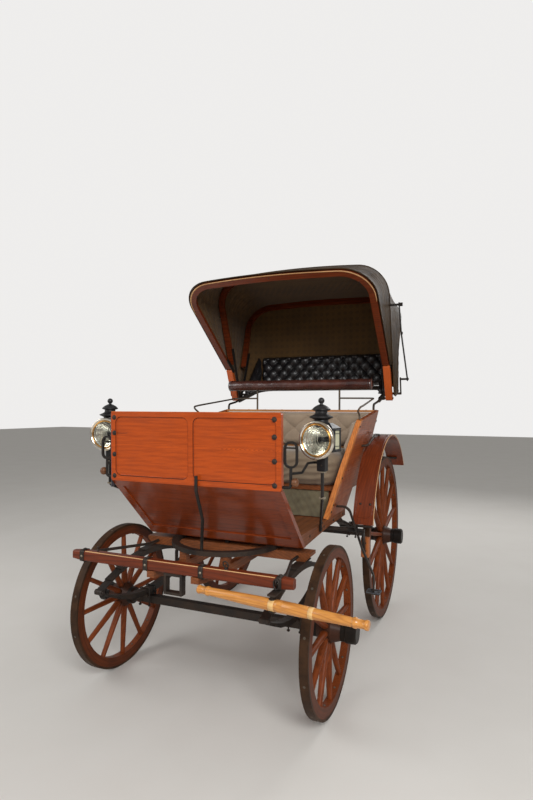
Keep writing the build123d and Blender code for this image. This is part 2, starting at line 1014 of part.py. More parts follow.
inner = fender_radius - fender_thickness / 2
outer = fender_radius + fender_thickness / 2
middle_angle = (fender_front + fender_rear) / 2
with BuildPart() as left_fender:
    with BuildSketch(Plane.YZ.offset(fender_x - fender_width / 2)):
        with BuildLine():
            ThreePointArc(*(fender_point(a, inner) for a in (fender_front, middle_angle, fender_rear)))
            Line(fender_point(fender_rear, inner), fender_point(fender_rear, outer))
            ThreePointArc(*(fender_point(a, outer) for a in (fender_rear, middle_angle, fender_front)))
            Line(fender_point(fender_front, outer), fender_point(fender_front, inner))
        make_face()
    extrude(amount=fender_width)
    split(bisect_by=side_plane(4), keep=Keep.TOP)
save(both_sides(left_fender.part), "fenders")

tip_y, tip_z = fender_point(fender_front, inner)
stay_height = fender_z + sqrt(outer**2 - (fender_y - stay_start_y) ** 2) + stay_clear
crest_y, crest_z = fender_point(crest_angle, outer + rod)
tail_y, tail_z = fender_point(tail_angle, inner - rod - seat_gap)
fender_irons = both_sides(
    bar(
        [
            (sill_x - 30, tip_y, sill_low - rod),
            (sill_x + 30, tip_y, sill_low - rod),
            (sill_x + 80, tip_y, tip_z - rod - 1),
            (fender_x + fender_width / 2 - 6, tip_y, tip_z - rod - 1),
        ],
        rod,
        20,
    ),
    bar(
        [
            (side_x(stay_height + rod), stay_start_y, stay_height),
            (side_x(stay_height) + 42, stay_start_y, stay_height),
            (side_x(stay_height) + 46, crest_y - 120, crest_z + 6),
            (side_x(stay_height) + 46, crest_y, crest_z),
        ],
        rod - 1,
        24,
    ),
    bar([(side_x(tail_z + rod), tail_y, tail_z), (fender_x + 20, tail_y, tail_z)], rod),
)

# Steps: a bent flat iron out of the side, with a tread plate
step_start = 885
steps = both_sides(
    flat_bar(
        [
            (side_x(step_start + 5), step_y - 50, step_start),
            (side_x(step_start) + 76, step_y - 50, step_start),
            (step_x - 70, step_y - 20, step_z + 270),
            (step_x, step_y, step_z + 100),
            (step_x, step_y, step_z + 3),
        ],
        26,
        10,
        50,
        (0, 1, 0),
    )
)
with BuildPart() as step_irons:
    add(steps.part)
    with Locations((step_x, step_y, step_z), (-step_x, step_y, step_z)):
        Box(84, 76, 6)
gather("side_irons", fender_irons.part, step_irons.part)

# Brake: cross bar below the floor, arms and wooden blocks at the rear wheels
arm_x = track / 2 + 7
with BuildPart() as brake_bar:
    with BuildSketch(Plane(origin=(-arm_x - 10, brake_y, brake_z), z_dir=(1, 0, 0))):
        Circle(brake_radius)
    extrude(amount=2 * arm_x + 20)
    for x in (-300, 300):
        with Locations((x, brake_y, (brake_z + floor_under) / 2)):
            Box(20, 28, floor_under - brake_z)
    for x in (-arm_x, arm_x):
        add(
            slab(
                [
                    (brake_y - 12, brake_z),
                    (brake_y + 12, brake_z),
                    (block_y, brake_block_z + block_length / 3),
                    (block_y, brake_block_z - block_length / 4),
                    (block_y - 16, brake_block_z - block_length / 4),
                    (brake_y - 12, brake_z - 50),
                ],
                x - 6,
                x + 6,
            )
        )
save(brake_bar, "brake_irons")
with BuildPart() as brake_blocks:
    block_middle = block_y + block_depth / 2
    with Locations((arm_x, block_middle, brake_block_z), (-arm_x, block_middle, brake_block_z)):
        Box(tread_width + 6, block_depth, block_length)
save(brake_blocks, "brake_blocks")

# Lamps
lamp_out = Vector(-sin(radians(lamp_toe)), -cos(radians(lamp_toe)), 0)
lamp_at = Vector(lamp_x, lamp_y, lamp_z)
lamp_side = Vector(cos(radians(lamp_toe)), -sin(radians(lamp_toe)), 0)
lamp_plane = Plane(origin=lamp_at, x_dir=(0, 0, 1), z_dir=lamp_side)


def lamp_turned(points):
    """Shape turned round the lamp's own axis, from depth and radius."""
    with BuildPart() as made:
        with BuildSketch(lamp_plane):
            with BuildLine():
                Polyline(*((radius, lamp_sense * -depth) for depth, radius in points), close=True)
            make_face()
        revolve(axis=Axis(lamp_at, lamp_out))
    return made.part


lamp_sense = 1 if (lamp_plane.y_dir.dot(lamp_out)) > 0 else -1
lamp_drum = [
    (8, 0),
    (8, lamp_radius - 12),
    (lantern_front + 8, lamp_radius - 15),
    (lantern_front + 8, 0),
]
reflector = [
    (8, 0),
    (8, lamp_radius - 17),
    (14, lamp_radius - 17),
    (lamp_depth - 26, 20),
    (lamp_depth, 0),
]
bezel = [
    (-8, lamp_radius - 14),
    (-8, lamp_radius - 2),
    (6, lamp_radius),
    (8, lamp_radius - 4),
    (8, lamp_radius - 20),
    (2, lamp_radius - 20),
]
save(both_sides(lamp_turned(bezel)), "lamp_bezels")
save(
    both_sides(
        lamp_turned([(-2, 0), (-2, lamp_radius - 17.9), (1.7, lamp_radius - 20.2), (1.7, 0)])
    ),
    "lamp_glasses",
)

lamp_mid = lamp_at - lamp_out * (lamp_depth * 0.55)
chimney_at = lamp_at - lamp_out * (lamp_depth * 0.44)
lantern_middle = lamp_at - lamp_out * ((lantern_front + lantern_back) / 2)
lantern_depth = lantern_back - lantern_front
chimney = [
    (36, 0),
    (33, 34),
    (46, 41),
    (55, 44),
    (55, 50),
    (34, 60),
    (29, 66),
    (29, 76),
    (42, 80),
    (42, 86),
    (32, 96),
    (18, 104),
    (8, 108),
    (7, 112),
]
chimney_top = chimney[-1][1]
ball_radius = 15
chimney_z = lamp_z + lantern_height / 2 + 4
socket_z = lamp_z - lantern_height / 2 - socket_height
with BuildPart() as lantern:
    with BuildSketch(Plane(origin=lamp_at - lamp_out * lantern_back, x_dir=lamp_side, z_dir=lamp_out)):
        Rectangle(lantern_width, lantern_height)
    extrude(amount=lantern_depth)
    roof_low = lamp_z + lantern_height / 2
    with BuildSketch(Plane(origin=(lantern_middle.X, lantern_middle.Y, roof_low), x_dir=lamp_side)):
        Rectangle(lantern_width, lantern_depth)
    extrude(amount=lantern_roof, taper=52)
    add(lamp_turned(lamp_drum))
    add(lamp_turned(reflector), mode=Mode.SUBTRACT)
    for side in (1, -1):
        window_at = lantern_middle - lamp_out * 5 + lamp_side * (side * lantern_width / 2)
        with BuildSketch(Plane(origin=window_at, x_dir=lamp_out, z_dir=lamp_side)):
            Rectangle(lantern_depth * 0.55, lantern_window)
        extrude(amount=-side * window_depth, mode=Mode.SUBTRACT)
with BuildPart() as chimney_part:
    with BuildSketch(Plane(origin=(chimney_at.X, chimney_at.Y, chimney_z), x_dir=(1, 0, 0), z_dir=(0, -1, 0))):
        with BuildLine():
            Polyline((0, 0), *chimney, (0, chimney_top), close=True)
        make_face()
    revolve(axis=Axis(chimney_at, (0, 0, 1)))
    with Locations((chimney_at.X, chimney_at.Y, chimney_z + chimney_top + ball_radius - 2)):
        Sphere(ball_radius)
    with BuildSketch(Plane(origin=(lamp_mid.X, lamp_mid.Y, socket_z), x_dir=lamp_side)):
        Rectangle(socket_width, socket_depth)
    extrude(amount=socket_height + 2)
save(both_sides(lantern.part, chimney_part.part), "lamp_bodies")

lamp_irons = both_sides(
    flat_bar(
        [
            (lamp_mid.X, lamp_mid.Y, socket_z),
            (lamp_mid.X, lamp_mid.Y, lamp_knee_z),
            (sill_x + 8, lamp_foot_y, sill_high + 20),
            (sill_x + 8, lamp_foot_y, sill_high - 30),
        ],
        22,
        10,
        20,
        (0, 1, 0),
    ),
)

# Hand-hold loops at the dash's ends
loop_x = dash_half + 40
loop_y = dash_y + board / 2
loop_plane = Plane(origin=(loop_x, loop_y + 6, handle_z), x_dir=(1, 0, 0), z_dir=(0, -1, 0))
with BuildPart() as loop:
    with BuildSketch(loop_plane):
        RectangleRounded(68, 124, 32)
        RectangleRounded(48, 104, 22, mode=Mode.SUBTRACT)
        with Locations((0, handle_bar)):
            Rectangle(52, 7)
    extrude(amount=12)
bracket_start = lamp_mid - lamp_side * (socket_width / 2)
handles = both_sides(
    loop.part,
    bar(
        [
            (loop_x, loop_y, handle_z - 60),
            (loop_x, loop_y, handle_z - 150),
            (dash_half, loop_y, handle_z - 150),
        ],
        rod - 1,
        14,
    ),
    bar(
        [
            (bracket_start.X, bracket_start.Y, bracket_high),
            (bracket_start.X - 22, bracket_start.Y + 4, bracket_high),
            (bracket_start.X - 37, bracket_start.Y - 51, bracket_high),
            (loop_x + 33, loop_y + 62, bracket_low_z),
            (loop_x, loop_y, bracket_low_z),
        ],
        rod - 2,
        14,
    ),
)
gather("front_irons", dash_brace, lamp_irons.part, handles.part)


# Hood: a base rail on the seat's irons, three bows on one pin, and the covers
def hood_point(angle, reach):
    """Y and Z at an angle and a distance from the hood's pin."""
    return (hinge_y + reach * cos(radians(angle)), hinge_z + reach * sin(radians(angle)))


def fan_plane(angle):
    """Plane through the pin, x across and y outwards at an angle."""
    return Plane(
        origin=(0, hinge_y, hinge_z), x_dir=(1, 0, 0), z_dir=(0, -sin(radians(angle)), cos(radians(angle)))
    )


front_angle = degrees(atan2(front_corner_z - knee_z, front_corner_y - knee_y))
front_reach = hypot(front_corner_z - knee_z, front_corner_y - knee_y)
knee_plane = Plane(
    origin=(0, knee_y, knee_z),
    x_dir=(1, 0, 0),
    z_dir=(0, -sin(radians(front_angle)), cos(radians(front_angle))),
)


def bow(plane, foot_x, foot, corner_x, reach, corner, arch):
    """Bent wooden bow in a plane: two legs, round corners and an arched top."""
    with BuildPart() as made:
        with BuildLine(plane) as path:
            FilletPolyline(
                (-foot_x, foot),
                (-corner_x, reach),
                (0, reach + arch),
                (corner_x, reach),
                (foot_x, foot),
                radius=[corner, 6000, corner],
            )
        with BuildSketch(Plane(origin=path.line @ 0, x_dir=plane.z_dir, z_dir=path.line % 0)):
            Rectangle(bow_thickness, bow_width)
        sweep(path=path.line)
    return made


front_bow = bow(knee_plane, leg_x, leg_foot, front_corner_x - bow_width / 2, front_reach, bow_corner, bow_arch)
save(front_bow, "hood_front_bow")
main_plane = fan_plane(main_angle)
main_bow = bow(main_plane, main_leg_x, bow_foot, main_corner_x, main_reach, bow_corner, bow_arch)
rear_plane = fan_plane(rear_angle)
rear_bow = bow(rear_plane, rear_leg_x, bow_foot, main_corner_x, rear_reach, bow_corner, bow_arch)
save(rear_bow, "hood_rear_bow")


def slat(angle, outer_x, length):
    """Iron slat from the pin along a bow's leg, lying against its inner face."""
    along = (0, cos(radians(angle)), sin(radians(angle)))
    slat_plane = Plane(origin=(outer_x - slat_thickness, hinge_y, hinge_z), x_dir=along, z_dir=(1, 0, 0))
    with BuildPart() as made:
        with BuildSketch(slat_plane):
            with Locations((length / 2, 0)):
                SlotOverall(length + slat_width, slat_width)
            Circle(pin_radius + running_gap, mode=Mode.SUBTRACT)
        extrude(amount=slat_thickness)
    return made.part


prop_top_y, prop_top_z = hood_point(main_angle, prop_reach)
boss_x = main_leg_x + (main_corner_x - main_leg_x) * (prop_reach - bow_foot) / (main_reach - bow_foot)
boss_x = boss_x + bow_width / 2 + 0.6
with BuildPart() as boss:
    with BuildSketch(Plane(origin=(boss_x, prop_top_y, prop_top_z), z_dir=(1, 0, 0))):
        Circle(pin_radius)
    extrude(amount=prop_x - seat_gap - boss_x)
save(both_sides(slat(main_angle, main_leg_x - bow_width / 2, slat_reach), boss.part), "hood_main_slats")
save(both_sides(slat(rear_angle, rear_leg_x - bow_width / 2, slat_reach)), "hood_rear_slats")

stile_angle = degrees(atan2(knee_z - hinge_z, knee_y - hinge_y))
stile_length = hypot(knee_z - hinge_z, knee_y - hinge_y)
with BuildPart() as stile:
    with BuildSketch(
        Plane(
            origin=(stile_x - stile_width / 2, hinge_y, hinge_z),
            x_dir=(0, cos(radians(stile_angle)), sin(radians(stile_angle))),
            z_dir=(1, 0, 0),
        )
    ):
        with Locations((stile_length / 2, 0)):
            SlotOverall(stile_length + stile_depth, stile_depth)
        with Locations((0, 0), (stile_length, 0)):
            Circle(pin_radius + running_gap, mode=Mode.SUBTRACT)
    extrude(amount=stile_width)
gather("hood_main_bow", main_bow.part, both_sides(stile.part).part)

knee_x = stile_x - stile_width / 2 - seat_gap
with BuildPart() as knee:
    with BuildSketch(
        Plane(
            origin=(knee_x - slat_thickness, knee_y, knee_z),
            x_dir=(0, cos(radians(front_angle)), sin(radians(front_angle))),
            z_dir=(1, 0, 0),
        )
    ):
        with Locations((knee_length / 2, 0)):
            SlotOverall(knee_length + slat_width, slat_width)
    extrude(amount=slat_thickness)
    with BuildSketch(Plane(origin=(knee_x - slat_thickness, knee_y, knee_z), z_dir=(1, 0, 0))):
        Circle(pin_radius)
    extrude(amount=slat_thickness + seat_gap + stile_width + 6)
save(both_sides(knee.part), "hood_front_irons")

base_plane = fan_plane(base_angle)
with BuildPart() as base:
    with BuildLine(base_plane) as path:
        FilletPolyline(
            (-base_x, -base_front),
            (-base_x, base_reach),
            (base_x, base_reach),
            (base_x, -base_front),
            radius=base_corner,
        )
    with BuildSketch(Plane(origin=path.line @ 0, x_dir=base_plane.z_dir, z_dir=path.line % 0)):
        Rectangle(base_height, base_thickness)
    sweep(path=path.line)
    for side in (1, -1):
        pin_at = (side * (base_x - base_thickness / 2), hinge_y, hinge_z)
        with BuildSketch(Plane(origin=pin_at, z_dir=(side, 0, 0))):
            Circle(pin_radius)
        extrude(amount=stile_x + stile_width / 2 + 6 - base_x + base_thickness / 2)

slope_cos = cos(radians(base_angle))
slope_sin = sin(radians(base_angle))
front_y, front_z = (
    hinge_y - base_front * slope_cos,
    hinge_z - base_front * slope_sin,
)
hood_stays = both_sides(
    bar(
        [
            (base_x - 2, standard_y, rail_top),
            (base_x - 2, standard_y, rail_top + 40),
            (base_x, front_y - 60, front_z - 60 * slope_sin),
            (base_x, front_y - 1, front_z - slope_sin),
        ],
        rod,
        26,
    )
)

# Lugs that carry the props' lower pins outside the leather
lug_along = (prop_low[0] - hinge_y) * slope_cos + (prop_low[1] - hinge_z) * slope_sin
lug_rise = (prop_low[1] - hinge_z) * slope_cos - (prop_low[0] - hinge_y) * slope_sin
lug_plane = Plane(origin=(lug_x, hinge_y, hinge_z), x_dir=(0, slope_cos, slope_sin), z_dir=(1, 0, 0))
with BuildPart() as lug:
    with BuildSketch(lug_plane):
        with Locations((lug_along, (lug_rise - lug_depth) / 2)):
            Rectangle(26, lug_rise + lug_depth)
        with Locations((lug_along, lug_rise)):
            Circle(15)
    extrude(amount=8)
    with BuildSketch(lug_plane.offset(base_x - lug_x)):
        with Locations((lug_along, -lug_depth / 2)):
            Rectangle(26, lug_depth)
    extrude(amount=lug_x - base_x + 8)
    with BuildSketch(Plane(origin=(lug_x, *prop_low), z_dir=(1, 0, 0))):
        Circle(pin_radius)
    extrude(amount=prop_x + prop_thickness + 6 - lug_x)
back_y_low, back_z_low = hood_point(base_angle, base_reach)
squab_low = back_z_low + base_height / 2 + 0.5
squab_front = back_y_low - squab_inset - squab_depth
with BuildPart() as ledge:
    with Locations((0, (back_y_low + squab_front) / 2, squab_low - 3)):
        Box(2 * (base_x - base_corner), back_y_low - squab_front, 6)
gather("hood_base", base.part, hood_stays.part, both_sides(lug.part).part, ledge.part)

# Stuffed squab round the hood's inside: a back, and wings that fall towards the front
wing_in = base_x - 38
wing_out = base_x + 2
wing_back = squab_front + squab_depth / 2


def rail_rest(y):
    """Height just above the base rail's top edge."""
    return hinge_z + ((y - hinge_y) * slope_sin + base_height / 2 + seat_gap) / slope_cos


wing = slab(
    [
        (wing_front, rail_rest(wing_front)),
        (wing_back, rail_rest(wing_back)),
        (wing_back, squab_low + squab_height),
        (squab_front, squab_low + squab_height),
        (wing_front, rail_rest(wing_front) + 40),
    ],
    wing_in,
    wing_out,
)
with BuildPart() as squab:
    with Locations((0, squab_front + squab_depth / 2, squab_low + seat_gap + squab_height / 2)):
        Box(2 * wing_in + 8, squab_depth, squab_height)
gather("hood_squab", squab.part, both_sides(wing).part)


def cover_outline(edge, grow, drop):
    """Filled face of a cover's edge in a bow's plane, its legs carried down by drop."""
    plane, foot_x, foot, corner_x, reach = edge
    spread = (corner_x - foot_x) / (reach - foot) * drop
    with BuildSketch(plane) as made:
        with BuildLine():
            FilletPolyline(
                (-foot_x - grow + spread, foot - drop),
                (-corner_x - grow, reach + grow),
                (corner_x + grow, reach + grow),
                (foot_x + grow - spread, foot - drop),
                radius=bow_corner + bow_width / 2 + grow,
            )
            Line((foot_x + grow - spread, foot - drop), (-foot_x - grow + spread, foot - drop))
        make_face()
    return made.sketch.face()


def hood_cover(first, second):
    """Leather over two bows: an outer form with a smaller one taken out of it."""
    with BuildPart() as made:
        loft([cover_outline(edge, cover_thickness, 0) for edge in (first, second)], ruled=True)
        loft(
            [cover_outline(edge, 0, cover_drop) for edge in (first, second)],
            ruled=True,
            mode=Mode.SUBTRACT,
        )
        with BuildSketch(Plane(origin=(-prop_x, prop_top_y, prop_top_z), z_dir=(1, 0, 0))):
            Rectangle(2 * stud_room, 2 * stud_room, rotation=main_angle)
        extrude(amount=2 * prop_x, mode=Mode.SUBTRACT)
    return made


stud_room = pin_radius + 0.8
cover_drop = 15
cover_x = stile_x + stile_width / 2 + 8
cover_side = main_corner_x + bow_width / 2 + cover_room
cover_top = bow_width / 2 + bow_arch + 6
rear_edge = rear_plane.offset(-bow_thickness / 2 - 1)
front_line = (
    knee_plane,
    leg_x + bow_width / 2 + cover_room,
    20,
    front_corner_x + cover_room - 1,
    front_reach + cover_top + 6,
)
high_line = (main_plane, cover_x, 262, cover_side, main_reach + cover_top)
main_line = (main_plane, cover_x, 24, cover_side, main_reach + cover_top)
rear_line = (rear_edge, cover_x, 24, cover_side, rear_reach + cover_top + 2)
curtain_line = (rear_edge, cover_x, 60, cover_side, rear_reach + cover_top + 2)
base_line = (fan_plane(base_angle + 4), cover_x, 60, cover_side - 7, base_reach + 14)
save(hood_cover(front_line, high_line), "hood_front_cover")
save(hood_cover(main_line, rear_line), "hood_rear_cover")
save(hood_cover(curtain_line, base_line), "hood_back_curtain")

# Outer props: a cranked bar a side, pinned to the base lug, screwed to the main bow
prop_high = (prop_top_y, prop_top_z)
with BuildPart() as prop:
    with BuildSketch(Plane.YZ.offset(prop_x)) as prop_shape:
        for first, second in ((prop_high, prop_knee), (prop_knee, prop_low)):
            with Locations(((first[0] + second[0]) / 2, (first[1] + second[1]) / 2)):
                SlotCenterToCenter(
                    hypot(second[0] - first[0], second[1] - first[1]),
                    prop_width,
                    rotation=degrees(atan2(second[1] - first[1], second[0] - first[0])),
                )
        with Locations(prop_low, prop_knee, prop_high):
            Circle(16)
        with Locations(prop_low):
            Circle(pin_radius + running_gap, mode=Mode.SUBTRACT)
    extrude(amount=prop_thickness)
    for place, radius, height in ((prop_knee, 10, 6), (prop_high, 13, 20)):
        with BuildSketch(Plane(origin=(prop_x + prop_thickness, *place), z_dir=(1, 0, 0))):
            Circle(radius)
        extrude(amount=height)
save(both_sides(prop.part), "hood_props")
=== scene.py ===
import math

import bmesh
import bpy
import numpy as np
from mathutils import Matrix, Vector


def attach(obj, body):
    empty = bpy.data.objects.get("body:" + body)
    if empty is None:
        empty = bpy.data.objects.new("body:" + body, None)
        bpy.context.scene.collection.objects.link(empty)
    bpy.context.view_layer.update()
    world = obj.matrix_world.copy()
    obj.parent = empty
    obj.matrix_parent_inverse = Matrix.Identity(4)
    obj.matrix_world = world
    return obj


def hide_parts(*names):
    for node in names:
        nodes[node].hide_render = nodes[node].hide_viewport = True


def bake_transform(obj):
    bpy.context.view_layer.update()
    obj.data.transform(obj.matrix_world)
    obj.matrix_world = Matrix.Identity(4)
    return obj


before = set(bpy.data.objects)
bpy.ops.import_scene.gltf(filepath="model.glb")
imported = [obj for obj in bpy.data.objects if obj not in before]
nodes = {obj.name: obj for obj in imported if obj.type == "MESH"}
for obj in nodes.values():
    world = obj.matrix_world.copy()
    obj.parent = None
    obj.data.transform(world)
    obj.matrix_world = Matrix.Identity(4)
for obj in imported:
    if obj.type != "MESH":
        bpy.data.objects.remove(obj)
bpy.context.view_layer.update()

# Places and sizes of the carriage's own parts, in metres
HOOD_PIN = np.array([1.514, 1.567])
KNEE_PIN = np.array([1.406, 1.796])
FRONT_CORNER = np.array([0.712, 2.343])
FRONT_ANGLE = math.atan2(*(FRONT_CORNER - KNEE_PIN)[::-1])
FRONT_REACH = math.hypot(*(FRONT_CORNER - KNEE_PIN))
MAIN_ANGLE = math.radians(108.6)
REAR_ANGLE = math.radians(68)
BASE_ANGLE = math.radians(17.5)
HIDE_THICKNESS = 0.0016
MAIN_REACH, REAR_REACH, BASE_REACH, BOW_CORNER, BOW_RISE = 0.96, 0.88, 0.40, 0.223, 0.025
DASH_Y, DASH_LOW, DASH_HEIGHT = -0.290, 1.103, 0.3601
WHEELS = {"front": ((0.0, 0.4), 0.4, 12), "rear": ((1.37, 0.568), 0.568, 14)}  # centre, radius, spokes
HALF_TRACK, FELLOE_DEPTH, TYRE_DEPTH = 0.625, 0.058, 0.013
LAMP = np.array([0.611, -0.188, 1.336])
LAMP_OUT = np.array([-math.sin(math.radians(10)), -math.cos(math.radians(10)), 0.0])


# Finishes


def colour(red, green, blue):
    """Linear colour from the 0 to 255 values of a painted swatch."""
    swatch = np.array([red, green, blue]) / 255
    linear = np.where(swatch <= 0.04045, swatch / 12.92, ((swatch + 0.055) / 1.055) ** 2.4)
    return (*linear.tolist(), 1.0)


def soiled(dark, share):
    """The dark colour with only a share of its light left."""
    return (*(share * part for part in dark[:3]), 1.0)


class Finish:
    """A surface shader and the nodes that feed it, all read from the object's own coordinates."""

    def __init__(self, name, rough=0.5, metal=0.0, coat=0.0, coat_rough=0.1, sheen=0.0, shine=0.5):
        self.material = bpy.data.materials.new(name)
        self.material.use_nodes = True
        self.tree = self.material.node_tree
        self.shader = self.tree.nodes["Principled BSDF"]
        plain = {
            "Roughness": rough, "Metallic": metal, "Coat Weight": coat, "Coat Roughness": coat_rough,
            "Sheen Weight": sheen, "Specular IOR Level": shine,
        }
        for socket, value in plain.items():
            self.shader.inputs[socket].default_value = value
        self.place = self.node("ShaderNodeTexCoord").outputs["Object"]
        self.parts = self.node("ShaderNodeSeparateXYZ", {0: self.place}).outputs

    def node(self, kind, inputs=None, **settings):
        """A node with its settings; each input is a plain value or another node's output."""
        made = self.tree.nodes.new(kind)
        for key, value in settings.items():
            setattr(made, key, value)
        for key, value in (inputs or {}).items():
            if isinstance(value, bpy.types.NodeSocket):
                self.tree.links.new(value, made.inputs[key])
            else:
                made.inputs[key].default_value = value
        return made

    def sums(self, operation, first, second=0.0, third=0.0):
        return self.node("ShaderNodeMath", {0: first, 1: second, 2: third}, operation=operation).outputs[0]

    def times(self, first, second):
        return self.sums("MULTIPLY", first, second)

    def vectors(self, operation, first, second=(0.0, 0.0, 0.0)):
        made = self.node("ShaderNodeVectorMath", {0: first, 1: second}, operation=operation)
        return made.outputs["Value" if operation in ("LENGTH", "DOT_PRODUCT") else "Vector"]

    def noise(self, vector, scale, detail=3.0, rough=0.55):
        inputs = {"Vector": vector, "Scale": scale, "Detail": detail, "Roughness": rough}
        return self.node("ShaderNodeTexNoise", inputs).outputs["Fac"]

    def combined(self, x, y, z):
        return self.node("ShaderNodeCombineXYZ", {0: x, 1: y, 2: z}).outputs[0]

    def steps(self, value, stops):
        """Colours or greys along a value, from (place, colour) pairs."""
        made = self.node("ShaderNodeValToRGB", {"Fac": value})
        band = made.color_ramp
        while len(band.elements) < len(stops):
            band.elements.new(0.5)
        for element, (place, shade) in zip(band.elements, stops):
            element.position = place
            element.color = shade if hasattr(shade, "__len__") else (shade, shade, shade, 1.0)
        return made.outputs["Color"]

    def patches(self, scale, detail, rough, low, high):
        """Slow patches of 0 to 1: noise of the place, cut between two levels."""
        return self.steps(self.noise(self.place, scale, detail, rough), [(low, 0.0), (high, 1.0)])

    def blend(self, share, first, second):
        return self.node("ShaderNodeMix", {0: share, 6: first, 7: second}, data_type="RGBA").outputs[2]

    def over(self, share, mask, first, second):
        """The first colour, covered by a share of the second where the mask is 1."""
        return self.blend(self.times(mask, share), first, second)

    def bump(self, height, depth, strength=1.0):
        made = self.node("ShaderNodeBump", {"Height": height, "Distance": depth, "Strength": strength})
        self.tree.links.new(made.outputs["Normal"], self.shader.inputs["Normal"])

    def feed(self, socket, value):
        self.tree.links.new(value, self.shader.inputs[socket])


def axes(finish, vector, order, scales):
    """The vector's parts in another order, each times its own scale."""
    parts = finish.node("ShaderNodeSeparateXYZ", {0: vector}).outputs
    chosen = [parts["XYZ".index(axis)] for axis in order]
    return finish.combined(*(finish.times(part, scale) for part, scale in zip(chosen, scales)))


def timber(finish, grain, light, dark, rings, pores, heart=(0.0, 0.0, 0.0), reach=None, bend=0.03, share=0.5):
    """Growth rings as waves of the distance from the heart, bent by slow noise, with fine pores along the
    grain. Rings are waves per metre times 2 pi, and the share is how far they darken the wood."""
    slow = finish.noise(grain, 6.0, 4.0, 0.5)
    reach = reach or finish.vectors("LENGTH", finish.vectors("SUBTRACT", grain, heart))
    bent = finish.sums("MULTIPLY_ADD", slow, bend, reach)
    wave = finish.sums("SINE", finish.times(bent, rings))
    year = finish.steps(wave, [(0.0, 0.0), (0.55, 0.25), (1.0, 1.0)])
    fine = finish.noise(grain, pores, 2.0, 0.6)
    patchy = finish.noise(grain, 2.5, 2.0, 0.5)
    base = finish.blend(patchy, light, tuple(0.75 * a + 0.25 * b for a, b in zip(light, dark)))
    ringed = finish.over(share, year, base, dark)
    streak = finish.steps(fine, [(0.42, 0.0), (0.62, 1.0)])
    return finish.over(0.35, streak, ringed, dark), fine, wave


def varnish(finish, shade, fine, wave, dark, soil_share, rough, relief, depth, strength):
    """The last of a varnished wood: soiled patches that are duller too, and its grain just felt."""
    soil = finish.patches(5.0, 5.0, 0.65, 0.5, 0.75)
    shade = finish.over(soil_share, soil, shade, soiled(dark, 0.45))
    finish.feed("Roughness", finish.sums("MULTIPLY_ADD", soil, 0.2, rough))
    finish.bump(finish.sums("ADD", fine, finish.times(wave, relief)), depth, strength)
    return shade


def wood(name, light, dark, along="X", rings=520.0, heart=(0.0, 0.0, 0.0), rough=0.34, coat=0.5, foot=None):
    """Varnished timber with its grain along one axis; foot is a height and the lighter colour below it."""
    finish = Finish(name, rough=rough, coat=coat, coat_rough=0.16, shine=0.25)
    light, dark = colour(*light), colour(*dark)
    order = {"X": "XYZ", "Y": "YXZ", "Z": "ZXY"}[along]
    grain = axes(finish, finish.place, order, (0.1, 1.0, 1.0))
    shade, fine, wave = timber(finish, grain, light, dark, rings, 60.0, heart)
    shade = varnish(finish, shade, fine, wave, dark, 0.22, rough, 0.15, 0.0004, 0.5)
    if foot:
        below = finish.sums("LESS_THAN", finish.parts[2], foot[0])
        shade = finish.over(0.75, below, shade, colour(*foot[1]))
    finish.feed("Base Color", shade)
    return finish.material


def dash_timber(light, dark):
    """Dash panel: fine straight grain that parts into nested points. The reach is the root of the height
    squared, less a quarter of the way past the first point, fading out with the height as a bell curve."""
    finish = Finish("dash_wood", rough=0.3, coat=0.4, coat_rough=0.16, shine=0.25)
    light, dark = colour(*light), colour(*dark)
    point_height, point_start, point_slope, point_bend, point_reach = 1.288, 0.165, 0.26, 0.004, 0.05
    grain = axes(finish, finish.place, "XYZ", (0.06, 1.0, 1.0))
    height = finish.sums("SUBTRACT", finish.parts[2], point_height)
    square = finish.times(height, height)
    root = finish.sums("SQRT", finish.sums("ADD", square, point_bend**2))
    bell = finish.sums("EXPONENT", finish.times(square, -1 / point_reach**2))
    past = finish.sums("MAXIMUM", finish.sums("SUBTRACT", finish.parts[0], point_start), 0.0)
    fall = finish.times(finish.times(past, -point_slope), bell)
    reach = finish.sums("ADD", root, fall)
    shade, fine, wave = timber(finish, grain, light, dark, 1000.0, 90.0, reach=reach, bend=0.010, share=0.62)
    shade = varnish(finish, shade, fine, wave, dark, 0.16, 0.3, 0.1, 0.0003, 0.4)
    finish.feed("Base Color", shade)
    return finish.material


def around(finish, centre):
    """The place about a wheel's or fender's centre: its parts, its radius and its turn."""
    local = finish.vectors("SUBTRACT", finish.place, (0.0, *centre))
    parts = finish.node("ShaderNodeSeparateXYZ", {0: local}).outputs
    radius = finish.vectors("LENGTH", finish.vectors("MULTIPLY", local, (0.0, 1.0, 1.0)))
    return parts, radius, finish.sums("ARCTAN2", parts[2], parts[1])


def bent_timber(name, centre, light, dark):
    """A bent board: the grain runs round the board's centre, so it follows the curve."""
    finish = Finish(name, rough=0.38, coat=0.3, coat_rough=0.2, shine=0.25)
    parts, radius, turn = around(finish, centre)
    grain = finish.combined(finish.times(turn, 0.06), radius, parts[0])
    shade, fine, wave = timber(
        finish, grain, colour(*light), colour(*dark), 700.0, 90.0, heart=(0.0, 0.6, 0.5), bend=0.02, share=0.4
    )
    finish.feed("Base Color", shade)
    finish.bump(finish.sums("ADD", fine, finish.times(wave, 0.1)), 0.0004, 0.5)
    return finish.material


